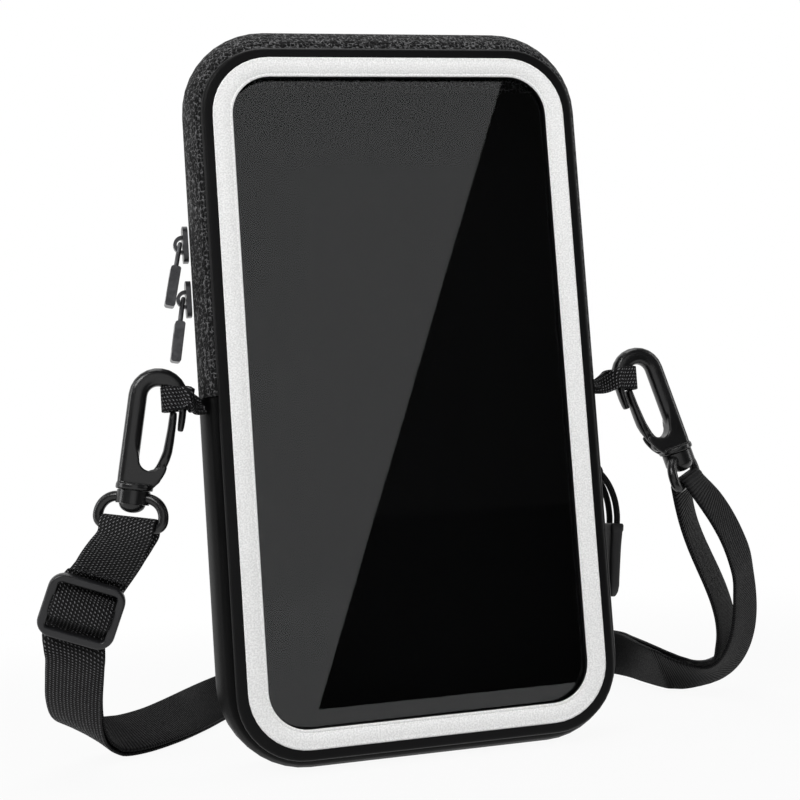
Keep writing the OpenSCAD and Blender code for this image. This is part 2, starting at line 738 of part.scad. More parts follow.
// Strap routes, in [middle, width direction]. The glide's own points are [height, depth, side] in its frame
glide_x = [cos(glide_lean), 0, -sin(glide_lean)];
glide_y = [sin(glide_lean) * sin(glide_tilt), cos(glide_tilt), cos(glide_lean) * sin(glide_tilt)];
glide_z = [sin(glide_lean) * cos(glide_tilt), -sin(glide_tilt), cos(glide_lean) * cos(glide_tilt)];
function in_glide(pairs) =
    [for (p = pairs) [glide_pos + p[1] * glide_y + p[0] * glide_z + p[2] * glide_x, glide_x]];

outer_weave = [[13.2, 2.3, 2.4], [10.4, 2.4, 1.9], [7.6, 2.6, 1.2], [5.4, 2.1, 0.3], [3.6, 0.2, 0],
               [1.8, -1.86, 0], [-1.8, -1.86, 0], [-3.6, 0.2, 0], [-5.4, 2.1, 0], [-7.6, 2.9, 0]];
inner_weave = [[-1, -0.73, 0], [1.1, -0.73, 0], [2.6, 1, 0], [1.1, 2.7, 0], [-1.5, 2.7, 0], [-4.6, 3.8, 0],
               [-7.6, 4.5, 0]];
tab_weave = [[13.2, 0.3, 2.3], [11.4, 0.4, 2.1], [9.6, 0.5, 1.8]];

// A point or direction of a hook's ring, with the ring's own X along its bar
function ring_way(lean, yaw, flip, v) =
    let (x = v[0] * cos(yaw) - v[1] * sin(yaw), y = v[0] * sin(yaw) + v[1] * cos(yaw))
    [flip * (x * cos(lean) + v[2] * sin(lean)), y, v[2] * cos(lean) - x * sin(lean)];
strap_end_z = -ring_drop - turn_leg - 0.6;
leg_y = turn_in + web_t / 2 + 0.1;
left_bar = ring_way(left_lean, left_ring_yaw, 1, [1, 0, 0]);
right_bar = -ring_way(right_lean, right_ring_yaw, -1, [1, 0, 0]);
function left_end(side) =
    [left_hook_pos + ring_way(left_lean, left_ring_yaw, 1, [0, side * leg_y, strap_end_z]), left_bar];
function right_end(side) =
    [right_hook_pos + ring_way(right_lean, right_ring_yaw, -1, [0, side * leg_y, strap_end_z]), right_bar];
outer_start = [left_end(1), [[-74.6, -1, 56.9], [0.9, -0.25, -0.36]]];
tab_start = [left_end(-1), [[-74.8, -3.5, 56.2], [0.9, -0.25, -0.36]]];

left_leg = [
    [[-87.3, 7.8, 31], [0.97, -0.1, -0.2]], [[-87.9, 13, 24.8], [0.97, -0.22, -0.15]],
    [[-88.4, 19.5, 18.2], [0.95, -0.25, -0.2]], [[-87.8, 26.5, 12.2], [0.88, -0.35, -0.3]],
    [[-85.4, 33, 8.2], [0.78, -0.42, -0.46]], [[-80.8, 38.6, 5.6], [0.7, -0.43, -0.57]]
];
floor_run = [
    [[-74.3, 43.6, 4.5], [0.69, -0.44, -0.57]], [[-65.1, 54.9, 4.4], [0.67, -0.47, -0.58]],
    [[-55.6, 70.8, 4.9], [0.66, -0.38, -0.65]], [[-45, 92, 5.2], [0.64, -0.33, -0.69]],
    [[-32, 106, 6], [0.4, -0.45, -0.8]], [[-15, 115, 6.2], [0.2, -0.52, -0.83]],
    [[8, 119.5, 6.4], [0, -0.5, -0.86]], [[34, 121, 6.8], [0, -0.4, -0.92]],
    [[57, 119.5, 7.1], [-0.05, -0.3, -0.95]], [[76, 114, 7.3], [-0.1, -0.15, -0.98]],
    [[88.6, 103.5, 7.4], [0, 0, -1]], [[92.4, 89, 7.4], [0.08, 0, -1]], [[92, 75, 7.3], [0.2, 0, -0.98]],
    [[91.3, 63, 7.1], [0.32, 0.05, -0.95]]
];
right_turn = [
    [[91.4, 53, 6.9], [0.42, 0.12, -0.9]], [[93, 46.4, 6.5], [0.55, 0.4, -0.73]],
    [[96.2, 42.6, 6.1], [0.6, 0.6, -0.53]], [[100.4, 40, 6.2], [0.65, 0.62, -0.42]],
    [[103.5, 36, 7.9], [0.86, 0.5, -0.11]]
];
right_leg_outer = [
    [[104.4, 31.9, 12], [0.88, 0.42, 0.15]], [[103.9, 28.6, 16.4], [0.62, 0.53, 0.5]],
    [[102.3, 26, 21.6], [0.6, 0.53, 0.56]], [[99.6, 22.9, 27.4], [0.52, 0.55, 0.63]],
    [[95.6, 19.1, 33.4], [0.44, 0.57, 0.69]], [[91, 15.2, 39.2], [0.37, 0.59, 0.72]],
    [[86.4, 11.4, 44.6], [0.36, 0.59, 0.72]], [[82.3, 7.6, 50.2], [0.42, 0.6, 0.68]],
    [[79.6, 4.3, 56], [0.6, 0.64, 0.42]], right_end(1)
];
right_leg_inner = [
    [[106.2, 30.4, 11], [0.91, 0.39, 0.14]], [[106.3, 26, 15.6], [0.84, 0.37, 0.4]],
    [[105.3, 21.5, 20.8], [0.78, 0.43, 0.46]], [[104, 17.5, 27], [0.74, 0.46, 0.48]],
    [[102, 13.5, 33.5], [0.7, 0.48, 0.52]], [[99.4, 10, 39.9], [0.65, 0.53, 0.55]],
    [[96.3, 6.9, 46.3], [0.58, 0.56, 0.58]], [[92.7, 4.1, 52], [0.5, 0.6, 0.63]],
    [[88.4, 1.6, 57.4], [0.48, 0.64, 0.55]], [[84.6, -0.4, 61], [0.58, 0.68, 0.38]], right_end(-1)
];
layer_step = web_t + 0.5;
shared_line = concat(left_leg, floor_run, right_turn);
route_steps = 2;

module strap_outer_layer() {
    line = smooth(concat(outer_start, in_glide(outer_weave), shared_line, right_leg_outer), route_steps);
    color(web_c) ribbon(line, web_w, web_t);
}

module strap_inner_layer() {
    line = smooth(concat(in_glide(inner_weave), shifted(shared_line, -layer_step), right_leg_inner), route_steps);
    color(web_c) ribbon(line, web_w, web_t);
}

module left_tab_fold() {
    color(web_c) ribbon(smooth(concat(tab_start, in_glide(tab_weave)), route_steps), web_w, web_t);
}

front_frame_lower();
front_frame_upper();
reflective_border_lower();
reflective_border_upper();
window_film_lower();
window_film_upper();
lower_gusset();
zip_gusset_front();
zip_gusset_rear();
zip_teeth_front();
zip_teeth_rear();
back_panel();
divider_panel();
upper_slider();
upper_pull_link();
upper_pull_tag();
lower_slider();
lower_pull_link();
lower_pull_tag();
side_zip_teeth();
side_slider();
side_pull_cord();
side_pull_grip();
left_loop();
right_loop();
left_hook_frame();
right_hook_frame();
left_gate();
right_gate();
left_rivet();
right_rivet();
left_ring();
right_ring();
left_strap_turn();
right_strap_turn();
left_tab_fold();
strap_outer_layer();
strap_inner_layer();
strap_adjuster();
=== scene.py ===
"""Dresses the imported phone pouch: padded shell, clear window, zip, webbing strap and swivel snap hooks."""

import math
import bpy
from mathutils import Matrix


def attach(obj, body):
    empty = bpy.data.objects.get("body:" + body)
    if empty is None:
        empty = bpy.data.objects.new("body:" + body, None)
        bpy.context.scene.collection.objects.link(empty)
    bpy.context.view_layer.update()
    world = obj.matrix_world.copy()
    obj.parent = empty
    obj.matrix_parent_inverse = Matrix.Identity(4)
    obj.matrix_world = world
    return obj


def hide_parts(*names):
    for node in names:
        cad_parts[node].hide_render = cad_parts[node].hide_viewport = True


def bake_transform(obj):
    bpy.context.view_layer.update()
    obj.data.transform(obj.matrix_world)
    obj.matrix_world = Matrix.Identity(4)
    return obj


bl_info = {
    "name": "Zip pouch dressing",
    "version": (1, 0, 0),
    "blender": (4, 5, 0),
    "location": "3D View > Sidebar > Pouch",
    "description": "Builds the visible fabric, film, webbing and hardware of a zip pouch on its packed frame",
    "category": "Object",
}

import bmesh
import bpy
from bpy.props import FloatProperty, FloatVectorProperty, IntProperty, PointerProperty
from mathutils import Matrix, Vector

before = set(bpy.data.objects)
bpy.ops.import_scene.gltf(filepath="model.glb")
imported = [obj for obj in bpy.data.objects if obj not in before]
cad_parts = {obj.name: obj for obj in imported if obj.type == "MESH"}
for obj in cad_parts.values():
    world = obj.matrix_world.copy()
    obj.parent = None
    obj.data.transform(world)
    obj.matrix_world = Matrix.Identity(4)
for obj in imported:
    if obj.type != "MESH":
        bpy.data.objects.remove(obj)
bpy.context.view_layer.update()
MM = 0.001

# Sizes that the source fixes, in millimetres
PANEL_W, PANEL_H, PANEL_R = 98.6, 179.6, 17.0
PANEL_LIFT, HALF_D, GUSSET_HALF = 2.7, 13.0, 11.2
SIDE_BULGE, TOP_BULGE, CORNER_GAIN, CORNER_EXTRA, WALL_T = 3.7, 7.5, 0.9, 1.4, 2.0
SEAM_Z, ZIP_Y, PART_GAP = 94.0, 3.5, 0.3
BORDER_W, BORDER_H, BORDER_R, BAND_W, BAND_T = 93.0, 174.0, 15.0, 5.0, 0.4
MID_Z = PANEL_LIFT + PANEL_H / 2
WEB_W, WEB_T, LOOP_W, LOOP_T = 14.8, 1.0, 6.8, 0.9

# The swell of the walls: a station of the half depth, then the shares at the sides, the top and the foot
SWELL = [(-1, -0.2, -0.2, -0.2), (-0.85, 0.35, 0.35, 0.45), (-0.5, 0.8, 0.8, 1), (0, 1, 1, 1),
         (0.5, 0.8, 0.8, 1), (0.85, 0.35, 0.35, 0.45), (1, -0.2, -0.2, -0.2)]

# Section of the webbing, as shares of half its width and half its thickness
BAND_SECTION = [(-1, 0), (-0.975, 0.7), (-0.93, 1), (-0.5, 1), (0, 1), (0.5, 1), (0.93, 1), (0.975, 0.7),
                (1, 0), (0.975, -0.7), (0.93, -1), (0.5, -1), (0, -1), (-0.5, -1), (-0.93, -1), (-0.975, -0.7)]

# The grid on which the hooks are fused, in millimetres
VOXEL = 0.24

# Degrees: from where an edge stays sharp, on firm and on soft pieces, and the points of a turned piece
SHARP, SOFT, ROUND = 40, 60, range(0, 360, 12)


class PouchShellSettings(bpy.types.PropertyGroup):
    """Sizes and colours of the padded shell"""

    fabric: FloatVectorProperty(
        name="Fabric", description="Colour of the coated fabric", subtype="COLOR",
        default=(0.0032, 0.0032, 0.0034))
    tape: FloatVectorProperty(
        name="Zip tape", description="Colour of the knitted zip tape", subtype="COLOR",
        default=(0.003, 0.003, 0.0032))
    band: FloatVectorProperty(
        name="Reflective band", description="Colour of the reflective band", subtype="COLOR",
        default=(0.8, 0.8, 0.795))
    edge_round: FloatProperty(
        name="Edge rounding", description="Radius of the frame's rounded outer edge", default=1.25 * MM,
        min=0.2 * MM, max=1.7 * MM, unit="LENGTH", precision=5)
    back_crown: FloatProperty(
        name="Back crown", description="How far the padded back swells in its middle", default=0.9 * MM,
        min=0.0, max=3 * MM, unit="LENGTH", precision=5)
    seam_pitch: FloatProperty(
        name="Seam pitch", description="Distance from one seam stitch to the next", default=3.0 * MM,
        min=1.5 * MM, max=6 * MM, unit="LENGTH", precision=5)


class StrapSettings(bpy.types.PropertyGroup):
    """Sizes and colours of the webbing"""

    webbing: FloatVectorProperty(
        name="Webbing", description="Colour of the woven strap", subtype="COLOR",
        default=(0.005, 0.005, 0.0053))
    rib_pitch: FloatProperty(
        name="Rib pitch", description="Distance from one woven rib to the next", default=0.85 * MM,
        min=0.4 * MM, max=2 * MM, unit="LENGTH", precision=5)
    route_steps: IntProperty(
        name="Route steps", description="Steps between two points of a strap's route", default=6, min=2, max=12)
    stitch_pitch: FloatProperty(
        name="Stitch pitch", description="Distance from one strap stitch to the next", default=1.3 * MM,
        min=0.6 * MM, max=3 * MM, unit="LENGTH", precision=5)


class HardwareSettings(bpy.types.PropertyGroup):
    """Colours of hooks, adjuster, sliders and pulls"""

    hook: FloatVectorProperty(
        name="Hook", description="Colour of the moulded hooks", subtype="COLOR",
        default=(0.004, 0.004, 0.0043))
    adjuster: FloatVectorProperty(
        name="Adjuster", description="Colour of the strap adjuster", subtype="COLOR",
        default=(0.01, 0.01, 0.011))
    gunmetal: FloatVectorProperty(
        name="Gunmetal", description="Colour of sliders, pulls and rivets", subtype="COLOR",
        default=(0.05, 0.05, 0.053))
    grip: FloatVectorProperty(
        name="Grip", description="Colour of the rubber grip", subtype="COLOR", default=(0.008, 0.008, 0.0085))


class StageSettings(bpy.types.PropertyGroup):
    """Camera, floor and lights"""

    lens: FloatProperty(
        name="Lens", description="Focal length of the camera in millimetres", default=61.35, min=20, max=200)
    key_power: FloatProperty(
        name="Key power", description="Power of the main soft light", default=10.0, min=0, max=200)
    card_glow: FloatProperty(
        name="Card glow", description="Brightness of the card that the window reflects", default=0.95,
        min=0, max=5)


# Points and smooth lines

def mix4(a, b, c, d, t):
    """Catmull-Rom between b and c"""
    return 0.5 * (2 * b + (c - a) * t + (2 * a - 5 * b + 4 * c - d) * t * t + (3 * b - 3 * c + d - a) * t ** 3)


def around(items, i):
    """The items i - 1 to i + 2, with the list's ends in place of those beyond them"""
    return [items[max(0, min(len(items) - 1, i + k))] for k in (-1, 0, 1, 2)]


def smooth_route(route, steps):
    """Smooths rows of (point, width direction, how freely the band turns) and returns the same kind of list"""
    line = []
    for i in range(len(route) - 1):
        points, wides, frees = zip(*around(route, i))
        for k in range(steps):
            t = k / steps
            line.append((mix4(*points, t), mix4(*wides, t), frees[1] + (frees[2] - frees[1]) * t))
    return line + [route[-1]]


def smooth_points(points, steps):
    """Catmull-Rom through plain points"""
    points = [Vector(p) for p in points]
    out = [mix4(*around(points, i), k / steps) for i in range(len(points) - 1) for k in range(steps)]
    return out + [points[-1]]


def tangent_at(points, i):
    """Direction of a line of points at its point i"""
    return (points[min(len(points) - 1, i + 1)] - points[max(0, i - 1)]).normalized()


def frames_of(line):
    """Width and face direction at each point. Where it isn't free, the band shears to what it is sewn to"""
    points = [row[0] for row in line]
    out = []
    for i, (_, wide, free) in enumerate(line):
        tangent = tangent_at(points, i)
        across = (wide - free * wide.dot(tangent) * tangent).normalized()
        out.append((across, tangent.cross(across).normalized()))
    return out


def shifted(route, distance):
    """The same route, moved along its face direction"""
    return [(r[0] + distance * f[1], r[1], r[2]) for r, f in zip(route, frames_of(route))]


def route_of(rows):
    """Rows of (x, y, z, wx, wy, wz) in millimetres as a route"""
    return [(Vector(r[:3]), Vector(r[3:]), 1.0) for r in rows]


def arc(cx, cz, r, degrees):
    """Points of a circle at these angles"""
    turns = [math.radians(d) for d in degrees]
    return [(cx + r * math.cos(t), cz + r * math.sin(t)) for t in turns]


def outline(w, h, r, side_steps=60, end_steps=24, arc_steps=10):
    """A closed rounded rectangle about the origin, from the right side's foot upwards"""
    r = max(r, 0.02)
    hw, hh = w / 2 - r, h / 2 - r
    points = []
    for k, (sx, sz) in enumerate(((1, 1), (-1, 1), (-1, -1), (1, -1))):
        if k % 2:
            points += [(-sx * hw + 2 * sx * hw * i / end_steps, sz * h / 2) for i in range(end_steps)]
        else:
            points += [(sx * w / 2, -sz * hh + 2 * sz * hh * i / side_steps) for i in range(side_steps)]
        points += arc(sx * hw, sz * hh, r, [90 * k + 90 * i / arc_steps for i in range(arc_steps)])
    return points


def shares_at(s):
    """Swell shares at a station of the half depth, smoothly between those of the table"""
    for i, (a, b) in enumerate(zip(SWELL, SWELL[1:])):
        if a[0] <= s <= b[0]:
            t = (s - a[0]) / (b[0] - a[0])
            _, *columns = zip(*around(SWELL, i))
            return [min(1.0, mix4(*column, t)) for column in columns]
    return SWELL[-1][1:]


def half_loop(s, inset, upper, seam):
    """The shell's section at station s from the left seam to the right one, over the top or under the bottom"""
    side, top, low = shares_at(s)
    hw = PANEL_W / 2 + SIDE_BULGE * side - inset
    zt = PANEL_LIFT + PANEL_H + TOP_BULGE * top - inset
    zb = PANEL_LIFT - PANEL_LIFT * low + inset
    r = PANEL_R + CORNER_EXTRA + SIDE_BULGE * CORNER_GAIN * side - inset
    end, sign = (zt, 1) if upper else (zb, -1)
    corner = end - sign * r
    rise, span = 24, 16
    turns = [math.radians(9 * i) for i in range(11)]
    points = [(-hw, seam + (corner - seam) * i / rise) for i in range(rise)]
    points += [(-hw + r - r * math.cos(t), corner + sign * r * math.sin(t)) for t in turns[:-1]]
    points += [(-hw + r + (2 * hw - 2 * r) * i / span, end) for i in range(span + 1)]
    points += [(hw - r + r * math.sin(t), corner + sign * r * math.cos(t)) for t in turns[1:]]
    return points + [(hw, corner + (seam - corner) * i / rise) for i in range(1, rise + 1)]


# Meshes

def linked(name, data):
    """A new object in the scene"""
    obj = bpy.data.objects.new(name, data)
    bpy.context.scene.collection.objects.link(obj)
    return obj


def turned_out(mesh, merge=0.0, fill=False):
    """Merges close points, fills what is open and turns all faces outwards"""
    bm = bmesh.new()
    bm.from_mesh(mesh)
    if merge:
        bmesh.ops.remove_doubles(bm, verts=bm.verts, dist=merge * MM)
    if fill:
        bmesh.ops.holes_fill(bm, edges=bm.edges, sides=0)
    bmesh.ops.recalc_face_normals(bm, faces=bm.faces)
    bm.to_mesh(mesh)
    bm.free()


def smooth_shaded(mesh):
    mesh.polygons.foreach_set("use_smooth", [True] * len(mesh.polygons))


def applied(obj, name):
    """The mesh of an object with its modifiers, for which the object gives way"""
    mesh = bpy.data.meshes.new_from_object(obj.evaluated_get(bpy.context.evaluated_depsgraph_get()))
    bpy.data.objects.remove(obj)
    mesh.name = name
    return mesh


def mesh_object(name, verts, faces, uvs=None, sharp=SHARP, merge=0.0):
    """A smooth-shaded object from points in millimetres; uvs holds one pair of metres per point"""
    mesh = bpy.data.meshes.new(name)
    mesh.from_pydata([Vector(v) * MM for v in verts], [], faces)
    if uvs:
        layer = mesh.uv_layers.new(name="weave")
        for loop in mesh.loops:
            layer.data[loop.index].uv = uvs[loop.vertex_index]
    turned_out(mesh, merge)
    smooth_shaded(mesh)
    mesh.set_sharp_from_angle(angle=math.radians(sharp))
    return linked(name, mesh)


def grid_faces(rows, cols, close_rows=False, close_cols=False, start=0):
    """Quads of a grid of points"""
    faces = []
    for i in range(rows if close_rows else rows - 1):
        for j in range(cols if close_cols else cols - 1):
            a, b = i * cols + j, i * cols + (j + 1) % cols
            c, d = ((i + 1) % rows) * cols + (j + 1) % cols, ((i + 1) % rows) * cols + j
            faces.append((start + a, start + b, start + c, start + d))
    return faces


def bar_faces(rows, cols):
    """Faces of a bar: closed rows of points, with a cap at both ends"""
    faces = grid_faces(rows, cols, close_cols=True)
    return faces + [tuple(range(cols)), tuple(rows * cols - 1 - k for k in range(cols))]


def shell_object(name, outer, inner):
    """A closed wall between two grids of the same size"""
    rows, cols = len(outer), len(outer[0])
    n = rows * cols
    faces = grid_faces(rows, cols) + [tuple(reversed(f)) for f in grid_faces(rows, cols, start=n)]
    rims = [[i * cols + j for j in range(cols)] for i in (0, rows - 1)]
    rims += [[i * cols + j for i in range(rows)] for j in (0, cols - 1)]
    for rim in rims:
        faces += [(a, b, n + b, n + a) for a, b in zip(rim, rim[1:])]
    return mesh_object(name, [p for row in outer + inner for p in row], faces)


def rings(w, h, r, rows):
    """Points of a rounded rectangle for each row of (inset, depth), and how many each row has"""
    points = [(x, y, MID_Z + z) for inset, y in rows
              for x, z in outline(w - 2 * inset, h - 2 * inset, r - inset)]
    return points, len(points) // len(rows)


def ring_object(name, profile, w, h, r, sharp=SHARP):
    """A profile of (inset, depth) swept round a rounded rectangle on the front or back"""
    verts, cols = rings(w, h, r, profile)
    return mesh_object(name, verts, grid_faces(len(profile), cols, True, True), sharp=sharp)


def pad_object(name, w, h, r, rows):
    """A closed panel from rows of (inset, depth), which start and end at its two middles"""
    verts, cols = rings(w, h, r, rows)
    obj = mesh_object(name, verts, grid_faces(len(rows), cols, close_cols=True), merge=0.05)
    turned_out(obj.data, fill=True)
    return obj


def ribbon_object(name, line, width, thick, widths, part=None, frames=None, run=0.0):
    """A flat woven band along a line, or a part of it, with its weave in metres, and how far it has run"""
    first, last = part or (0, len(line) - 1)
    frames = frames or frames_of(line)
    verts, uvs = [], []
    for i in range(first, last + 1):
        p = line[i][0]
        across, facing = frames[i]
        if i > first:
            run += (p - line[i - 1][0]).length
        half = width / 2 * widths(i / (len(line) - 1))
        for a, f in BAND_SECTION:
            verts.append(p + across * half * a + facing * (thick / 2 * f))
            uvs.append((a * half * MM, run * MM))
    return mesh_object(name, verts, bar_faces(last - first + 1, len(BAND_SECTION)), uvs, SOFT), run


def tube_object(name, points, radius, sides):
    """A round cord along points in millimetres, with closed ends"""
    verts, uvs = [], []
    side = Vector((0, 1, 0))
    run = 0.0
    for i, p in enumerate(points):
        tangent = tangent_at(points, i)
        side = (side - side.dot(tangent) * tangent).normalized()
        other = tangent.cross(side)
        if i:
            run += (p - points[i - 1]).length
        for k in range(sides):
            t = 2 * math.pi * k / sides
            verts.append(p + radius * (math.cos(t) * side + math.sin(t) * other))
            uvs.append((t * radius * MM, run * MM))
    return mesh_object(name, verts, bar_faces(len(points), sides), uvs, SOFT)


def prism(points, low, high, flat=False):
    """A closed prism from points of (x, z) between two depths, or flat, of (x, y) between two heights"""
    n = len(points)
    verts = [(a, b, end) if flat else (a, end, b) for end in (low, high) for a, b in points]
    faces = [(i, (i + 1) % n, n + (i + 1) % n, n + i) for i in range(n)]
    return verts, faces + [tuple(reversed(range(n))), tuple(range(n, 2 * n))]


def swept_solid(stations, sides=20):
    """A closed bar through stations of (x, z, thickness, width), bent in its own upright plane"""
    squareness = 0.8
    verts = []
    for i, (x, z, thick, wide) in enumerate(stations):
        a, b = stations[max(0, i - 1)], stations[min(len(stations) - 1, i + 1)]
        along = Vector((b[0] - a[0], b[1] - a[1])).normalized()
        for k in range(sides):
            t = 2 * math.pi * k / sides
            c, s = (math.copysign(abs(v) ** squareness, v) for v in (math.cos(t), math.sin(t)))
            verts.append((x + along.y * thick / 2 * c, wide / 2 * s, z - along.x * thick / 2 * c))
    return verts, bar_faces(len(stations), sides)


def moulded_object(name, solids, place, rounds=8):
    """Fuses closed solids into one moulded piece with small fillets, then puts it in place"""
    verts, faces = [], []
    for part_verts, part_faces in solids:
        faces += [tuple(len(verts) + i for i in face) for face in part_faces]
        verts += part_verts
    rough = mesh_object(name + "_rough", verts, faces)
    fuse = rough.modifiers.new("fuse", "REMESH")
    fuse.mode = "VOXEL"
    fuse.voxel_size = VOXEL * MM
    fuse.use_smooth_shade = True
    fillet = rough.modifiers.new("fillet", "SMOOTH")
    fillet.factor = 0.5
    fillet.iterations = rounds
    mesh = applied(rough, name)
    for v in mesh.vertices:
        v.co = place(v.co / MM) * MM
    turned_out(mesh)
    smooth_shaded(mesh)
    return linked(name, mesh)


# Materials

# The scale of noise that looks like single fine threads
FINE = 2600


class Nodes:
    """Adds nodes to one tree, whose inputs are plain values or the outputs of other nodes"""

    def __init__(self, tree):
        self.tree = tree

    def feed(self, socket, value):
        if isinstance(value, bpy.types.NodeSocket):
            self.tree.links.new(value, socket)
        else:
            socket.default_value = value

    def node(self, kind, inputs=None, **settings):
        made = self.tree.nodes.new(kind)
        for key, value in settings.items():
            setattr(made, key, value)
        for key, value in (inputs or {}).items():
            self.feed(made.inputs[key], value)
        return made

    def surface(self, shader):
        self.feed(self.tree.nodes["Material Output"].inputs["Surface"], shader)

    def math(self, op, *values):
        return self.node("ShaderNodeMath", dict(enumerate(values)), operation=op).outputs[0]

    def plus(self, a, b, share):
        """The sum of a and a share of b"""
        return self.math("ADD", a, self.math("MULTIPLY", b, share))

    def ramp(self, value, low, high, out_low=0.0, out_high=1.0, shape="SMOOTHSTEP"):
        inputs = {"Value": value, "From Min": low, "From Max": high, "To Min": out_low, "To Max": out_high}
        return self.node("ShaderNodeMapRange", inputs, interpolation_type=shape).outputs["Result"]


class Finish(Nodes):
    """Builds one node material around a Principled shader"""

    def __init__(self, name, color, rough, **sockets):
        self.mat = bpy.data.materials.new(name)
        self.mat.use_nodes = True
        super().__init__(self.mat.node_tree)
        self.shader = self.tree.nodes["Principled BSDF"]
        self.shader.inputs["Base Color"].default_value = (*color, 1)
        self.shader.inputs["Roughness"].default_value = rough
        for key, value in sockets.items():
            self.shader.inputs[key.replace("_", " ")].default_value = value

    def coords(self, scale=(1.0, 1.0, 1.0)):
        source = self.node("ShaderNodeTexCoord").outputs["Object"]
        return self.node("ShaderNodeMapping", {"Vector": source, "Scale": scale}).outputs["Vector"]

    def weave(self):
        """Places across and along a band, in metres"""
        uv = self.node("ShaderNodeUVMap", uv_map="weave").outputs["UV"]
        split = self.node("ShaderNodeSeparateXYZ", {"Vector": uv})
        return split.outputs["X"], split.outputs["Y"]

    def noise(self, scale, detail=2, rough=0.6):
        inputs = {"Vector": self.coords(), "Scale": scale, "Detail": detail, "Roughness": rough}
        return self.node("ShaderNodeTexNoise", inputs).outputs["Fac"]

    def knit(self, feature):
        """Distance from the middles or the edges of uneven loops about a millimetre across"""
        inputs = {"Vector": self.coords((1.0, 1.25, 0.8)), "Scale": 1050, "Randomness": 0.55}
        return self.node("ShaderNodeTexVoronoi", inputs, feature=feature).outputs["Distance"]

    def tint(self, fac, a, b):
        """Colour between a and b by fac, into the base colour"""
        mixed = self.node("ShaderNodeMix", {"Factor": fac, "A": (*a, 1), "B": (*b, 1)}, data_type="RGBA")
        self.feed(self.shader.inputs["Base Color"], mixed.outputs["Result"])

    def bump(self, height, distance, strength=1.0):
        made = self.node("ShaderNodeBump", {"Strength": strength, "Distance": distance, "Height": height})
        self.feed(self.shader.inputs["Normal"], made.outputs["Normal"])

    def rough_by(self, value):
        self.feed(self.shader.inputs["Roughness"], value)


def lighter(color, by):
    return tuple(min(1.0, c * by) for c in color)


def coated_fabric(name, color, rough, grain=0.00005, gloss=0.09):
    """Smooth coated fabric with a very fine weave and soft, uneven sheen: the sheen is partly real, from
    rougher and smoother spots, and partly painted, as lighter clouds in the colour
    """
    f = Finish(name, color, rough, Specular_IOR_Level=gloss)
    threads, clouds = f.noise(FINE), f.noise(45, 3, 0.5)
    # Painted sheen: lighter clouds in the colour stand in for uneven light on the coating
    f.tint(f.ramp(clouds, 0.3, 0.75), color, lighter(color, 1.35))
    f.rough_by(f.plus(rough - 0.08, threads, 0.16))
    f.bump(f.plus(threads, clouds, 0.5), grain)
    return f.mat


def knitted_tape(name, color):
    """Bumpy black knit, whose loops are edged with broken light threads: painted highlights where light catches
    the raised, glossier loops
    """
    f = Finish(name, color, 0.6, Specular_IOR_Level=0.13)
    broken, fine = f.ramp(f.noise(900), 0.38, 0.62), f.ramp(f.noise(FINE), 0.3, 0.6)
    # Painted highlight: the raised threads along the loops' edges are lighter in the colour, as light catches
    # them; they are also glossier and higher
    thread = f.math("MULTIPLY", f.ramp(f.knit("DISTANCE_TO_EDGE"), 0.17, 0.05), broken)
    f.tint(f.math("MULTIPLY", thread, fine), color, (0.14, 0.14, 0.144))
    f.bump(f.plus(f.math("SUBTRACT", 1.0, f.knit("F1")), thread, 0.35), 0.0005)
    f.rough_by(f.ramp(thread, 0.0, 1.0, 0.75, 0.4))
    return f.mat


def woven_band(name, color, pitch, across, light=(0.15, 0.15, 0.155)):
    """Webbing: columns of short raised threads, each column half a thread further on; the thread tops are
    painted lighter as highlights, and are glossier
    """
    f = Finish(name, color, 0.5, Specular_IOR_Level=0.16)
    x, y = f.weave()
    u, v = f.math("DIVIDE", x, across), f.math("DIVIDE", y, pitch)
    column = f.math("PINGPONG", f.math("FLOOR", u), 1.0)
    in_thread = f.math("FRACT", f.plus(v, column, 0.5))
    sway = f.math("SINE", f.math("MULTIPLY", in_thread, 2 * math.pi))
    in_column = f.math("FRACT", f.plus(u, sway, 0.12))
    ridge = f.math("SINE", f.math("MULTIPLY", in_column, math.pi))
    thread = f.math("SINE", f.math("MULTIPLY", in_thread, math.pi))
    height = f.math("MULTIPLY", f.math("POWER", ridge, 1.6), f.math("POWER", thread, 0.8))
    fuzz = f.noise(FINE)
    # Painted highlight: the tops of the raised threads are lighter in the colour, standing in for the specular
    # stripes that light makes on them
    top = f.ramp(f.plus(height, fuzz, 0.3), 0.74, 1.14)
    f.tint(top, color, light)
    f.bump(f.plus(height, fuzz, 0.15), 0.00024)
    f.rough_by(f.ramp(top, 0.0, 1.0, 0.72, 0.34))
    return f.mat


def ribbed_band(name, color, pitch):
    """The plain side of the webbing: soft ribs straight across it and very fine threads; the rib tops are
    painted lighter as highlights, more strongly in some patches than in others
    """
    f = Finish(name, color, 0.55, Specular_IOR_Level=0.04)
    v = f.math("DIVIDE", f.weave()[1], pitch)
    rib = f.math("SINE", f.math("MULTIPLY", f.math("FRACT", v), math.pi))
    # Painted highlight: the rib tops are lighter in the colour, more so in random patches, standing in for
    # light grazing the ribs
    fuzz, wear_and_sheen = f.noise(FINE), f.ramp(f.noise(60, 2, 0.5), 0.3, 0.7, 0.5, 1.0)
    f.tint(f.math("MULTIPLY", f.ramp(rib, 0.55, 1.0), wear_and_sheen), color, lighter(color, 3.5))
    f.bump(f.plus(rib, fuzz, 0.2), 0.0002)
    f.rough_by(f.ramp(fuzz, 0.3, 0.7, 0.42, 0.6))
    return f.mat


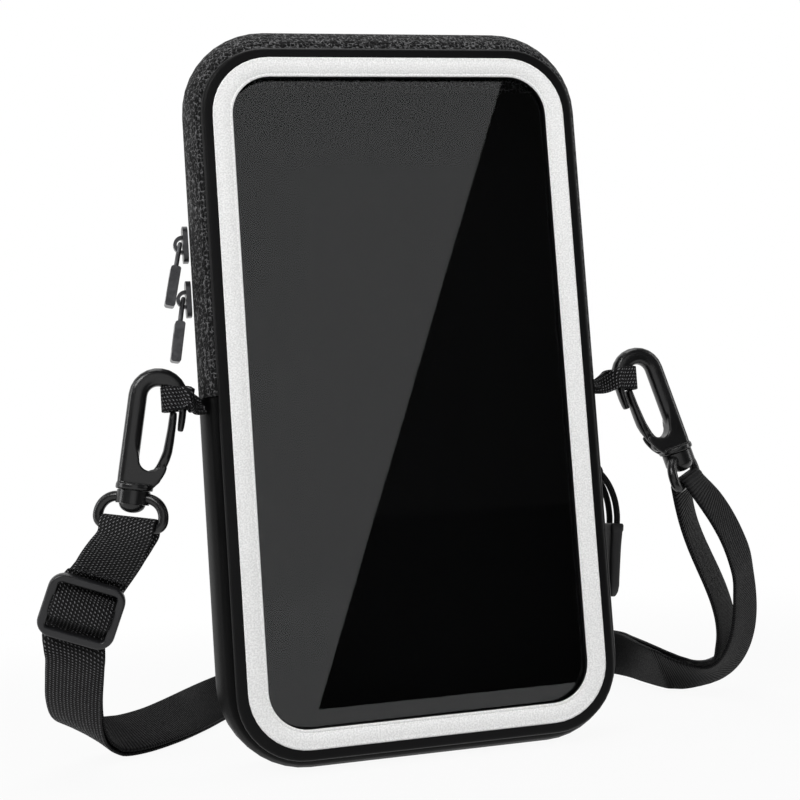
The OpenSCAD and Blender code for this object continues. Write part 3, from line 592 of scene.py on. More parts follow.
def reflective_band(name, color):
    """Pale reflective film with tiny grey grains"""
    f = Finish(name, color, 0.42, Specular_IOR_Level=0.5, Coat_Weight=0.15, Coat_Roughness=0.25)
    grains, blotch = f.noise(2400), f.noise(420, 2, 0.5)
    mixed = f.plus(f.math("MULTIPLY", grains, 0.92), blotch, 0.08)
    f.tint(f.ramp(mixed, 0.36, 0.66), lighter(color, 0.88), lighter(color, 1.12))
    f.bump(grains, 0.00003)
    return f.mat


def clear_film(name):
    """Clear soft film: sees through, with a crisp gloss"""
    f = Finish(name, (0.86, 0.88, 0.9), 0.015, Transmission_Weight=1.0, IOR=1.36)
    f.bump(f.noise(14, 1, 0.4), 0.00005, 0.35)
    return f.mat


def moulded_plastic(name, color, rough, coat=0.0):
    """Moulded plastic with faint flow marks and a fine grain"""
    f = Finish(name, color, rough, Specular_IOR_Level=0.4, Coat_Weight=coat, Coat_Roughness=0.12)
    flow, fine = f.noise(160, 3, 0.5), f.noise(4200, 1, 0.5)
    f.tint(f.ramp(flow, 0.3, 0.7), color, lighter(color, 1.35))
    f.rough_by(f.plus(rough - 0.07, flow, 0.14))
    f.bump(f.plus(fine, flow, 2.0), 0.00002)
    return f.mat


def plated_metal(name, color, rough=0.3):
    """Dark plated die-cast metal with worn lighter spots"""
    f = Finish(name, color, rough, Metallic=0.85)
    cast = f.noise(420, 4)
    f.tint(f.ramp(cast, 0.35, 0.75), color, lighter(color, 1.9))
    f.rough_by(f.plus(rough - 0.1, cast, 0.25))
    f.bump(cast, 0.00002)
    return f.mat


def soft_rubber(name, color):
    """Matt rubber with a fine tooth"""
    f = Finish(name, color, 0.55, Specular_IOR_Level=0.4)
    tooth, wear_and_sheen = f.noise(2400), f.noise(120, 3, 0.5)
    f.tint(f.ramp(wear_and_sheen, 0.35, 0.75), color, lighter(color, 1.5))
    f.rough_by(f.plus(0.44, tooth, 0.2))
    f.bump(tooth, 0.00005)
    return f.mat


FINISHES = {}


def make_finishes(scene):
    shell, strap, hard = scene.pouch_shell, scene.pouch_strap, scene.pouch_hardware
    fabric, webbing = tuple(shell.fabric), tuple(strap.webbing)
    FINISHES.update(
        frame=coated_fabric("frame_fabric", fabric, 0.42),
        gusset=coated_fabric("gusset_fabric", lighter(fabric, 0.5), 0.4, gloss=0.035),
        back=coated_fabric("back_fabric", lighter(fabric, 0.6), 0.58, 0.0001),
        lining=coated_fabric("lining_fabric", lighter(fabric, 0.5), 0.75, 0.000004, 0.03),
        tape=knitted_tape("zip_tape_knit", tuple(shell.tape)),
        band=reflective_band("reflective_band", tuple(shell.band)),
        film=clear_film("window_film"),
        webbing=woven_band("webbing_weave", webbing, strap.rib_pitch, 0.92 * MM),
        # Painted shade: the ribbed back of the webbing is the same webbing, made darker because its faces lie
        # in shade
        webbing_back=ribbed_band("webbing_ribs", lighter(webbing, 0.6), 0.95 * MM),
        thread=coated_fabric("stitch_thread", (0.02, 0.02, 0.021), 0.6, 0.00003),
        # The braid's raised tops get a faint painted highlight
        cord=woven_band("cord_braid", (0.004, 0.004, 0.0042), 0.7 * MM, 0.5 * MM, (0.03, 0.03, 0.031)),
        hook=moulded_plastic("hook_plastic", tuple(hard.hook), 0.3, coat=0.12),
        adjuster=moulded_plastic("adjuster_plastic", tuple(hard.adjuster), 0.36),
        teeth=moulded_plastic("zip_tooth_plastic", (0.015, 0.015, 0.016), 0.4),
        gunmetal=plated_metal("gunmetal_plate", tuple(hard.gunmetal)),
        grip=soft_rubber("grip_rubber", tuple(hard.grip)))


def settle(obj, finish, slot, nodes=(), body=None):
    """Gives a piece its finish, hides the solids that it stands for and puts it on the body that it rides, if
    one is given; the slot is not used
    """
    obj.data.materials.clear()
    obj.data.materials.append(FINISHES[finish])
    if body:
        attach(obj, body)
    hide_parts(*nodes)


def dress_node(node, finish):
    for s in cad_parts[node].material_slots:
        s.link = "OBJECT"
        s.material = FINISHES[finish]


# Stitches, as one geometry nodes tree over a curve

def stitch_tree():
    """A tree that lays short threads along a curve; its inputs are the pitch, length and thickness"""
    tree = bpy.data.node_groups.new("lay_stitches", "GeometryNodeTree")
    face = tree.interface
    face.new_socket("Geometry", in_out="INPUT", socket_type="NodeSocketGeometry")
    for label, value in (("Pitch", 0.003), ("Length", 0.002), ("Thickness", 0.0003)):
        face.new_socket(label, in_out="INPUT", socket_type="NodeSocketFloat").default_value = value
    face.new_socket("Geometry", in_out="OUTPUT", socket_type="NodeSocketGeometry")
    net = Nodes(tree)
    given = net.node("NodeGroupInput").outputs
    thick, length = given["Thickness"], given["Length"]
    points = net.node("GeometryNodeCurveToPoints", {"Curve": given["Geometry"], "Length": given["Pitch"]},
                      mode="LENGTH").outputs
    ball = net.node("GeometryNodeMeshIcoSphere", {"Radius": 0.5, "Subdivisions": 2})
    size = net.node("ShaderNodeCombineXYZ", {"X": thick, "Y": thick, "Z": length})
    place = net.node("GeometryNodeInstanceOnPoints", {
        "Points": points["Points"], "Rotation": points["Rotation"], "Instance": ball.outputs["Mesh"],
        "Scale": size.outputs["Vector"]})
    real = net.node("GeometryNodeRealizeInstances", {"Geometry": place.outputs["Instances"]})
    paint = net.node("GeometryNodeSetMaterial", {
        "Geometry": real.outputs["Geometry"], "Material": FINISHES["thread"]})
    net.node("NodeGroupOutput", {"Geometry": paint.outputs["Geometry"]})
    return tree


def stitched(name, paths, pitch, length, thickness, body):
    """Lays stitches along each path, in millimetres, as one plain mesh"""
    tree = bpy.data.node_groups.get("lay_stitches") or stitch_tree()
    curve = bpy.data.curves.new(name + "_line", "CURVE")
    curve.dimensions = "3D"
    for path in paths:
        spline = curve.splines.new("POLY")
        spline.points.add(len(path) - 1)
        for point, p in zip(spline.points, path):
            point.co = (*(Vector(p) * MM), 1)
    guide = linked(name + "_line", curve)
    lay = guide.modifiers.new("stitches", "NODES")
    lay.node_group = tree
    sizes = {"Pitch": pitch, "Length": length, "Thickness": thickness}
    for item in tree.interface.items_tree:
        if item.in_out == "INPUT" and item.name in sizes:
            lay[item.identifier] = sizes[item.name]
    made = linked(name, applied(guide, name))
    smooth_shaded(made.data)
    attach(made, body)


# Routes of the strap, in millimetres. Those of the strap's runs hold (x, y, z) and the direction of its width

GLIDE = (Vector((-85, 3, 43)), 11, 21)
LEFT_HOOK = (Vector((-70.7, -3.5, 72.2)), 10.5, -25, 1)
RIGHT_HOOK = (Vector((77, 0, 73)), 16.6, -45, -1)
LEG_Y, BAR_DROP, BAR_TURN, END_Z = 2.1, 9.0, 2.0, -11.0


def glide_axes():
    """The adjuster's middle and its three directions: across the strap, into it and up it"""
    origin, tilt, lean = GLIDE
    ct, st = math.cos(math.radians(tilt)), math.sin(math.radians(tilt))
    cl, sl = math.cos(math.radians(lean)), math.sin(math.radians(lean))
    return origin, Vector((cl, 0, -sl)), Vector((sl * st, ct, cl * st)), Vector((sl * ct, -st, cl * ct))


def on_glide(x, y, z):
    """A point of the adjuster's own frame, in the row frame"""
    origin, gx, gy, gz = glide_axes()
    return origin + gx * x + gy * y + gz * z


def in_glide(rows):
    """Rows of (height, depth, side) in the adjuster's frame as a route"""
    origin, gx, gy, gz = glide_axes()
    return [(origin + y * gy + z * gz + x * gx, gx, 1.0) for z, y, x in rows]


def on_hook(hook, x, y, z, turn=True):
    """A point of a hook's own frame, or of its ring's, in the row frame"""
    origin, lean, yaw, side = hook
    if turn:
        c, s = math.cos(math.radians(yaw)), math.sin(math.radians(yaw))
        x, y = c * x - s * y, s * x + c * y
    c, s = math.cos(math.radians(lean)), math.sin(math.radians(lean))
    return origin + Vector((side * (c * x + s * z), y, -s * x + c * z))


def over_bar(hook, first):
    """The turn of webbing over a ring's bar, from the leg on the first side to the other leg"""
    wide = (on_hook(hook, 1, 0, 0) - on_hook(hook, 0, 0, 0)) * hook[3]
    turn = [(BAR_TURN * first * math.cos(t), BAR_TURN * math.sin(t) - BAR_DROP)
            for t in (math.pi * i / 8 for i in range(9))]
    return [(on_hook(hook, 0, y, z), wide, 0.0)
            for y, z in [(LEG_Y * first, END_Z), *turn, (-LEG_Y * first, END_Z)]]


OUTER_WEAVE = [(10.4, 2.4, 1.9), (7.6, 2.6, 1.2), (5.4, 2.1, 0.3), (3.6, 0.2, 0), (1.8, -1.86, 0),
               (-1.8, -1.86, 0), (-3.6, 0.2, 0), (-5.4, 2.1, 0), (-7.6, 2.9, 0)]
INNER_WEAVE = [(-1, -0.73, 0), (1.1, -0.73, 0), (2.6, 1, 0), (1.1, 2.7, 0), (-1.5, 2.7, 0), (-4.6, 3.8, 0),
               (-7.6, 4.5, 0)]
TAB_WEAVE = [(13.2, 0.3, 2.3), (11.4, 0.4, 2.1), (9.6, 0.5, 1.8)]
OUTER_START = [(-73.4, -0.9, 59.2, 0.9, -0.38, -0.21), (-75, 0.3, 57.1, 0.91, -0.26, -0.26)]
TAB_START = [(-75.1, -4.1, 59, 0.9, -0.34, -0.22), (-76.5, -2.6, 56.7, 0.92, -0.18, -0.28)]
LEFT_LEG = [
    (-87.3, 7.8, 31, 0.97, -0.1, -0.2), (-87.9, 13, 24.8, 0.97, -0.22, -0.15),
    (-88.4, 19.5, 18.2, 0.95, -0.25, -0.2), (-87.8, 26.5, 12.2, 0.88, -0.35, -0.3),
    (-85.4, 33, 8.2, 0.78, -0.42, -0.46), (-80.8, 38.6, 5.6, 0.7, -0.43, -0.57)]
FLOOR_RUN = [
    (-74.3, 43.6, 4.5, 0.69, -0.44, -0.57), (-65.1, 54.9, 4.4, 0.67, -0.47, -0.58),
    (-55.6, 70.8, 4.9, 0.66, -0.38, -0.65), (-45, 92, 5.2, 0.64, -0.33, -0.69),
    (-32, 106, 6, 0.4, -0.45, -0.8), (-15, 115, 6.2, 0.2, -0.52, -0.83), (8, 119.5, 6.4, 0, -0.5, -0.86),
    (34, 121, 6.8, 0, -0.4, -0.92), (57, 119.5, 7.1, -0.05, -0.3, -0.95), (76, 114, 7.3, -0.1, -0.15, -0.98),
    (88.6, 103.5, 7.4, 0, 0, -1), (92.4, 89, 7.4, 0.08, 0, -1), (92, 75, 7.3, 0.2, 0, -0.98),
    (91.3, 63, 7.1, 0.32, 0.05, -0.95)]
RIGHT_TURN = [
    (91.4, 53, 6.9, 0.42, 0.12, -0.9), (93, 46.4, 6.5, 0.55, 0.4, -0.73), (96.2, 42.6, 6.1, 0.6, 0.6, -0.53),
    (100.4, 40, 6.2, 0.65, 0.62, -0.42), (103.5, 36, 7.9, 0.86, 0.5, -0.11)]
RIGHT_LEG_OUTER = [
    (104.4, 31.9, 12, 0.88, 0.42, 0.15), (103.9, 28.6, 16.4, 0.62, 0.53, 0.5),
    (102.3, 26, 21.6, 0.6, 0.53, 0.56), (99.6, 22.9, 27.4, 0.52, 0.55, 0.63),
    (95.6, 19.1, 33.4, 0.44, 0.57, 0.69), (91, 15.2, 39.2, 0.37, 0.59, 0.72),
    (86.4, 11.4, 44.6, 0.36, 0.59, 0.72), (82.3, 7.6, 50.2, 0.42, 0.6, 0.68), (79.6, 4.3, 56, 0.6, 0.64, 0.42)]
RIGHT_LEG_INNER = [
    (106.2, 30.4, 11, 0.91, 0.39, 0.14), (106.3, 26, 15.6, 0.84, 0.37, 0.4),
    (105.3, 21.5, 20.8, 0.78, 0.43, 0.46), (104, 17.5, 27, 0.74, 0.46, 0.48),
    (102, 13.5, 33.5, 0.7, 0.48, 0.52), (99.4, 10, 39.9, 0.65, 0.53, 0.55),
    (96.3, 6.9, 46.3, 0.58, 0.56, 0.58), (92.7, 4.1, 52, 0.5, 0.6, 0.63),
    (88.4, 1.6, 57.4, 0.48, 0.64, 0.55), (84.6, -0.4, 61, 0.58, 0.68, 0.38)]
LAYER_STEP = 1.5

# How freely the first rows turn after a sewn end or a ring's bar
SEWN, LEAVES_SEAM, LEAVES_BAR = (0, 0, 0, 0, 0), (0, 0, 0.3, 0.6), (0.1, 0.4, 0.7)

# Where stretches meet: the stretch, the rows before and after its first that are evened out, and the rounds
JOINS = [(1, 4, 0, 3), (2, 0, 3, 2), (4, 7, 5, 6), (5, 8, 1, 4), (6, 1, 9, 4), (7, 5, 8, 6)]


def held(route, frees):
    """The same route, with how freely its first rows turn"""
    return [(p, w, f) for (p, w, _), f in zip(route, [*frees] + [1.0] * len(route))]


def eased(rows, first, last, rounds):
    """Evens out the points and widths of rows first to last, each round by their neighbours"""
    for _ in range(rounds):
        kept = list(rows)
        for i in range(first, last):
            (p0, w0, _), (p1, w1, free), (p2, w2, _) = kept[i - 1:i + 2]
            rows[i] = ((p0 + 2 * p1 + p2) / 4, ((w0 + 2 * w1 + w2) / 4).normalized(), free)


def whole_strap(steps):
    """The strap in one route: from its tab over the left bar, along the floor, over the right bar and back"""
    tab = held(route_of(TAB_START) + in_glide(TAB_WEAVE), SEWN)[::-1]
    outer = held(route_of(OUTER_START) + in_glide(OUTER_WEAVE), LEAVES_SEAM)
    shared = route_of(LEFT_LEG + FLOOR_RUN + RIGHT_TURN)
    up = held(route_of(RIGHT_LEG_OUTER)[::-1], LEAVES_BAR)[::-1]
    down = held(route_of(RIGHT_LEG_INNER)[::-1], LEAVES_BAR)
    back = shifted(smooth_route(shared, steps), -LAYER_STEP)[::-steps // 2]
    marks, rows = [], []
    for piece in (tab, over_bar(LEFT_HOOK, -1), outer, shared, up, over_bar(RIGHT_HOOK, 1), down, back,
                  in_glide(INNER_WEAVE)[::-1]):
        marks.append(len(rows))
        rows += piece
    for at, before, after, rounds in JOINS:
        eased(rows, marks[at] - before, marks[at] + after, rounds)
    return rows, marks


def loop_route(root, nose):
    """A sewn loop from its seat at the seam, round the crook's end and back"""
    lead = 1 if nose[0] > root[0] else -1
    gone = abs(nose[0] - root[0])
    side, share = 3.1, 0.45
    dy = (nose[1] - root[1]) * share
    foot = root[0] + lead * gone * share
    near = root[0] + lead * (gone - 2.2)
    x, y, z = nose
    round_bar = [(x, y - side, z), (x + lead * 2.6, y - side + 0.3, z), (x + lead * 4.1, y - side + 1.9, z),
                 (x + lead * 4.1, y + side - 1.9, z), (x + lead * 2.6, y + side - 0.3, z), (x, y + side, z)]
    return route_of([
        (root[0], root[1], root[2] - 0.8, 0, 0.95, 0.3), (foot, root[1] + dy - 1.0, root[2] + 0.3, 0, 0.6, 0.8),
        (near, y - side - 0.95, z - 0.1, 0, 0.1, 1), *((*p, 0, 0, 1) for p in round_bar),
        (near, y + side + 0.95, z + 0.1, 0, 0.1, 1), (foot, root[1] + dy + 1.0, root[2] + 1.1, 0, 0.6, 0.8),
        (root[0], root[1], root[2] + 0.3, 0, 0.95, 0.3)])


# Operators

class POUCH_OT_finishes(bpy.types.Operator):
    """Make the materials of every fabric, film, plastic and metal"""

    bl_idname = "pouch.finishes"
    bl_label = "Make finishes"

    def execute(self, context):
        make_finishes(context.scene)
        return {"FINISHED"}


class POUCH_OT_front(bpy.types.Operator):
    """Build the front: padded frame, reflective band and clear window, each as one piece over the cross seam"""

    bl_idname = "pouch.front"
    bl_label = "Build front"

    def execute(self, context):
        e = context.scene.pouch_shell.edge_round / MM
        front, back = -HALF_D, -GUSSET_HALF
        inner = (PANEL_W - BORDER_W) / 2 + BAND_W
        profile = [(inner, back), (inner, front + 0.25), (inner - 0.25, front), (inner - 1.5, front),
                   (3.2, front), (2.4, front - 0.02)]
        profile += [(e - e * math.sin(t), front + e - e * math.cos(t))
                    for t in (math.radians(15 * i) for i in range(7))]
        profile += [(0.0, back - 0.1), (0.35, back), (3.0, back)]
        panel = ring_object("front_panel", profile, PANEL_W, PANEL_H, PANEL_R)
        rise = [(0.0, 0), (0.0, 0.6), (0.25, 1), (0.55, 1), (0.75, 0.86), (1.2, 0.9), (BAND_W - 0.95, 0.9),
                (BAND_W - 0.75, 0.55), (BAND_W - 0.55, 0.9), (BAND_W - 0.2, 0.9), (BAND_W, 0.5), (BAND_W, 0)]
        band = [(inset, front - BAND_T * share) for inset, share in rise]
        border = ring_object("reflective_edge", band, BORDER_W, BORDER_H, BORDER_R, sharp=SOFT)
        under, face, far = 2.5, back + 0.02, back + 0.48
        fw, fh = BORDER_W - 2 * BAND_W + 2 * under, BORDER_H - 2 * BAND_W + 2 * under
        insets = [fw / 2 - 0.02] + [fw / 2 * k for k in (0.85, 0.6, 0.35, 0.15)] + [0]
        rows = [(inset, face) for inset in insets] + [(inset, far) for inset in reversed(insets)]
        film = pad_object("window", fw, fh, BORDER_R - BAND_W + under, rows)
        for piece, finish, slot, nodes in (
                (panel, "frame", "shell_fabric", ("front_frame_lower", "front_frame_upper")),
                (border, "band", "reflective_film", ("reflective_border_lower", "reflective_border_upper")),
                (film, "film", "clear_film", ("window_film_lower", "window_film_upper"))):
            settle(piece, finish, slot, nodes)
            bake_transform(piece)
        return {"FINISHED"}


class POUCH_OT_shell(bpy.types.Operator):
    """Build the swollen walls: lower gusset, both halves of the zip tape, back panel and divider"""

    bl_idname = "pouch.shell"
    bl_label = "Build shell"

    def wall(self, name, y0, y1, upper, finish, node, body, slot, fill):
        """One swollen wall between two depths, whose seams pull it in over a steep, short way"""
        steps, pull, steep = 22, 0.35, 16
        seam = SEAM_Z + (PART_GAP / 2 if upper else -PART_GAP / 2)
        outer, inner = [], []
        for i in range(steps + 1):
            y = y0 + (y1 - y0) * i / steps
            s = y / GUSSET_HALF
            edge = min(i, steps - i) / steps
            tuck = pull * max(0.0, 1 - edge * steep)
            for grid, inset in ((outer, tuck), (inner, WALL_T - tuck * 0.5)):
                grid.append([(x, y, z) for x, z in half_loop(s, inset, upper, seam)])
        obj = shell_object(name, outer, inner)
        settle(obj, finish, slot, [node], body)

    def execute(self, context):
        g, gap = GUSSET_HALF, PART_GAP / 2
        self.wall("lower_wall", -g, g, False, "gusset", "lower_gusset", "pouch", "gusset_fabric", 0.8)
        self.wall("flap_tape", -g, ZIP_Y - gap, True, "tape", "zip_gusset_front", "front_flap", "zip_tape", 0.7)
        self.wall("rear_tape", ZIP_Y + gap, g, True, "tape", "zip_gusset_rear", "pouch", "zip_tape", 0.7)
        crown = context.scene.pouch_shell.back_crown / MM
        face, middle = HALF_D - crown * 0.6, PANEL_W / 2 - 0.05
        rows = [(middle, g), (PANEL_W / 4, g), (2, g), (0.3, g), (0.0, g + 0.3), (0.0, g + 0.7),
                (0.35, face - 0.35), (1.0, face), (2.2, face - 0.1), (2.9, face - 0.45), (3.6, face - 0.1),
                (6, face + crown * 0.3), (14, face + crown * 0.55), (PANEL_W / 4, face + crown * 0.6),
                (middle, face + crown * 0.6)]
        back = pad_object("back_pad", PANEL_W, PANEL_H, PANEL_R, rows)
        settle(back, "back", "shell_fabric", ["back_panel"], "pouch")
        path, _ = rings(PANEL_W, PANEL_H, PANEL_R, [(2.9, face - 0.28)])
        stitched("back_stitches", [path + path[:1]], context.scene.pouch_shell.seam_pitch,
                 2.0 * MM, 0.42 * MM, "pouch")
        self.divider()
        return {"FINISHED"}

    def divider(self):
        """The padded wall behind the phone pocket, with rounded edges and an open top"""
        top, front, floor = 176.0, 6.0, 20
        outer = half_loop(front / GUSSET_HALF, WALL_T + PART_GAP + 0.1, False, SEAM_Z)
        hw = abs(outer[0][0])
        verts = []
        for depth, inset in ((0.0, 0.5), (0.05, 0.1), (0.6, 0.0), (1.15, 0.1), (1.2, 0.5)):
            y = front + depth
            ring = [(x * (1 - inset / hw), y, z + (inset if z < floor else 0)) for x, z in outer]
            verts += [(ring[0][0], y, top - inset), *ring, (ring[-1][0], y, top - inset)]
        obj = mesh_object("divider_pad", verts, bar_faces(5, len(verts) // 5))
        settle(obj, "lining", "shell_fabric", ["divider_panel"], "pouch")


class POUCH_OT_zips(bpy.types.Operator):
    """Finish the zips: teeth, sliders and pulls, with the cord puller of the side zip"""

    bl_idname = "pouch.zips"
    bl_label = "Build zips"

    def execute(self, context):
        for node in ("zip_teeth_front", "zip_teeth_rear", "side_zip_teeth"):
            dress_node(node, "teeth")
        for node in ("upper_slider", "upper_pull_link", "upper_pull_tag", "lower_slider", "lower_pull_link",
                     "lower_pull_tag", "side_slider"):
            dress_node(node, "gunmetal")
        self.puller()
        return {"FINISHED"}

    def puller(self):
        """The cord's loop through the slider's bridge, and the rubber grip over both its ends"""
        slope, hang, tuck = math.radians(7.5), math.radians(13.5), math.radians(20)
        origin = Vector((PANEL_W / 2 + SIDE_BULGE * 0.836, 4.6, 68.8))
        bridge, drop, half = 2.65, 16, 2.0

        def at(x, y, z):
            """A point of the hanging cord's frame"""
            x, z = bridge + math.cos(hang) * x - math.sin(hang) * z, math.sin(hang) * x + math.cos(hang) * z
            return origin + Vector((math.cos(slope) * x - math.sin(slope) * y,
                                    math.sin(slope) * x + math.cos(slope) * y, z))

        def on_grip(x, y, z):
            """A point of the grip's frame, which hangs straighter than the cord"""
            x, z = math.cos(tuck) * x + math.sin(tuck) * z, math.cos(tuck) * z - math.sin(tuck) * x
            return at(x, y, z - drop)

        side = [(0.1, 0.0, -drop), (1.3, 0.1, -12.5), (1.9, 0.1, -8.5), (1.6, 0.0, -4.5), (0.5, 0.0, -1.3),
                (0, -0.9, 0)]
        path = [at(x, -half - y, z) for x, y, z in side] + [at(0, 0, 0.2)]
        path += [at(x, half + y, z) for x, y, z in reversed(side)]
        cord = tube_object("puller_cord", smooth_points(path, 5), radius=0.86, sides=14)
        settle(cord, "cord", "cord", ["side_pull_cord"], "side_pull")
        rows = [(1.25, 1.5, 2.7, 0.6), (1.15, 1.8, 3.05, 0.9), (0.7, 2.0, 3.2, 1.0), (-0.6, 2.0, 3.2, 1.1),
                (-1.0, 1.82, 3.05, 1.1), (-1.5, 1.8, 3.0, 1.1), (-4.8, 1.7, 2.7, 1.1), (-9, 1.65, 2.5, 1.1),
                (-13, 1.6, 2.36, 1.1), (-15.8, 1.55, 2.25, 1.0), (-17.4, 1.35, 1.95, 0.9),
                (-18.4, 1.0, 1.5, 0.8), (-18.8, 0.6, 1.0, 0.5)]
        verts = [on_grip(x, y, z) for z, hx, hy, r in rows for x, y in outline(2 * hx, 2 * hy, r, 4, 4, 5)]
        grip = mesh_object("puller_grip", verts, bar_faces(len(rows), len(verts) // len(rows)), sharp=50)
        settle(grip, "grip", "grip_rubber", ["side_pull_grip"], "side_pull")


class POUCH_OT_hooks(bpy.types.Operator):
    """Build the moulded swivel snap hooks, their gates and rivets, and the strap adjuster"""

    bl_idname = "pouch.hooks"
    bl_label = "Build hooks"

    def frame_solids(self):
        """Spine and crook, the cut nose, the flange and the foot with its half of the eye's round bottom"""
        bar, eye, socket = 4.7, (3.0, 7.9, 2.75), (4.2, 3.6, 2.25)
        spine = [(-2.1, 0.8, 4.5, 4.5)] + [(-2.1, z, bar, bar) for z in (3, 12, 23.8)]
        spine += [(x, z, bar, bar) for x, z in arc(3, 23.8, 5.1, range(165, -1, -15))]
        spine += [(8.1, 22.6, bar, bar), (8.1, 21.4, 4.6, 4.6)]
        nose = [(9.45, 21.5, 1.9, 3.9), (9.5, 19, 1.9, 3.8), (9.5, 17, 1.7, 3.4), (9.45, 15.9, 1.4, 2.8)]
        foot = [(-2.1, 1.0), (-2.1, 15.0), (-1.3, 12.4), (-0.5, 10.2), (0.0, 8.8)]
        foot += arc(*eye, (180, 195, 210, 225, 240, 252)) + arc(*socket, (139, *range(160, 281, 20)))
        foot += [(4.65, 1.0)]
        cheek = [(1.5, 1.0), *arc(*eye, range(240, 316, 15)), (6.1, 6.7), (6.8, 7.0), (7.3, 6.5), (7.1, 5.2),
                 (6.5, 3.8), (5.7, 2.3), (4.7, 1.1)]
        half, slit = bar / 2, 1.35
        return [swept_solid(spine), swept_solid(nose, 12), prism(foot, -half, half),
                prism(arc(0, 0, 4.68, ROUND), 0.05, 1.45, flat=True),
                prism(cheek, -half, -slit), prism(cheek, slit, half)]

    def gate_solids(self):
        """A barrel in the foot's socket and a limb that narrows towards the nose"""
        limb = [(4.1, 3.9, 2.6, 2.3), (4.9, 4.6, 2.7, 2.3), (5.6, 5.7, 2.6, 2.3), (6.15, 7.1, 2.5, 2.6),
                (6.6, 8.6, 2.5, 3.7), (7.0, 10.4, 2.4, 4.1), (7.15, 13, 2.3, 3.9), (7.25, 16, 2.1, 3.6),
                (7.25, 19, 2.0, 3.4), (7.2, 20.6, 1.8, 3.1)]
        return [prism(arc(4.2, 3.6, 2.05, range(0, 360, 15)), -1.15, 1.15), swept_solid(limb)]

    def rivet(self, side, place):
        """Two thin washers and the domed head, turned about the swivel's axis"""
        profile = [(0.0, -0.02), (3.9, -0.02), (3.95, -0.08), (3.9, -0.13), (1.55, -0.13), (1.5, -3.48),
                   (3.3, -3.5), (3.3, -3.6)]
        profile += [(3.2 * math.cos(t), -3.62 - 2.05 * math.sin(t))
                    for t in (math.radians(11.25 * i) for i in range(1, 9))]
        verts = [place(Vector((x, y, z))) for r, z in profile for x, y in arc(0, 0, max(r, 0.01), ROUND)]
        obj = mesh_object(f"{side}_swivel_rivet", verts, bar_faces(len(profile), len(ROUND)), merge=0.02)
        settle(obj, "hook", "gunmetal", [f"{side}_rivet"], "pouch")

    def execute(self, context):
        for side, hook in (("left", LEFT_HOOK), ("right", RIGHT_HOOK)):
            def place(p, hook=hook):
                return on_hook(hook, *p, turn=False)

            body = moulded_object(f"{side}_hook_body", self.frame_solids(), place)
            settle(body, "hook", "hook_finish", [f"{side}_hook_frame"], "pouch")
            gate = moulded_object(f"{side}_gate_arm", self.gate_solids(), place, rounds=6)
            settle(gate, "hook", "hook_finish", [f"{side}_gate"], f"{side}_hook_gate")
            self.rivet(side, place)
            dress_node(f"{side}_ring", "hook")
        self.adjuster()
        return {"FINISHED"}

    def adjuster(self):
        """The rounded frame, from rows of (width, height, corner, depth), and its centre bar"""
        rows = [(15.1, 12.0, 0.9, 0.0), (15.1, 12.0, 0.9, 0.9), (15.5, 12.4, 1.1, 1.3), (18.6, 15.4, 3.5, 1.4),
                (19.3, 16.1, 3.85, 1.15), (19.6, 16.4, 4.0, 0.7), (19.6, 16.4, 4.0, -0.7),
                (19.3, 16.1, 3.85, -1.15), (18.7, 15.5, 3.5, -1.42), (17.6, 14.3, 2.6, -1.5),
                (16.4, 13.1, 1.7, -1.44), (15.4, 12.3, 1.1, -1.25), (15.1, 12.0, 0.9, -0.8)]
        verts = [on_glide(x, y, z) for w, h, r, y in rows for x, z in outline(w, h, r, 12, 16, 8)]
        faces = grid_faces(len(rows), len(verts) // len(rows), True, True)
        start = len(verts)
        section = outline(1.4, 3.0, 0.45, 2, 2, 4)
        verts += [on_glide(x, 0.9 + y, z) for x in (-7.75, 7.75) for y, z in section]
        faces += [tuple(start + i for i in face) for face in bar_faces(2, len(section))]
        obj = mesh_object("adjuster", verts, faces, sharp=50)
        settle(obj, "adjuster", "adjuster_finish", ["strap_adjuster"], "pouch")


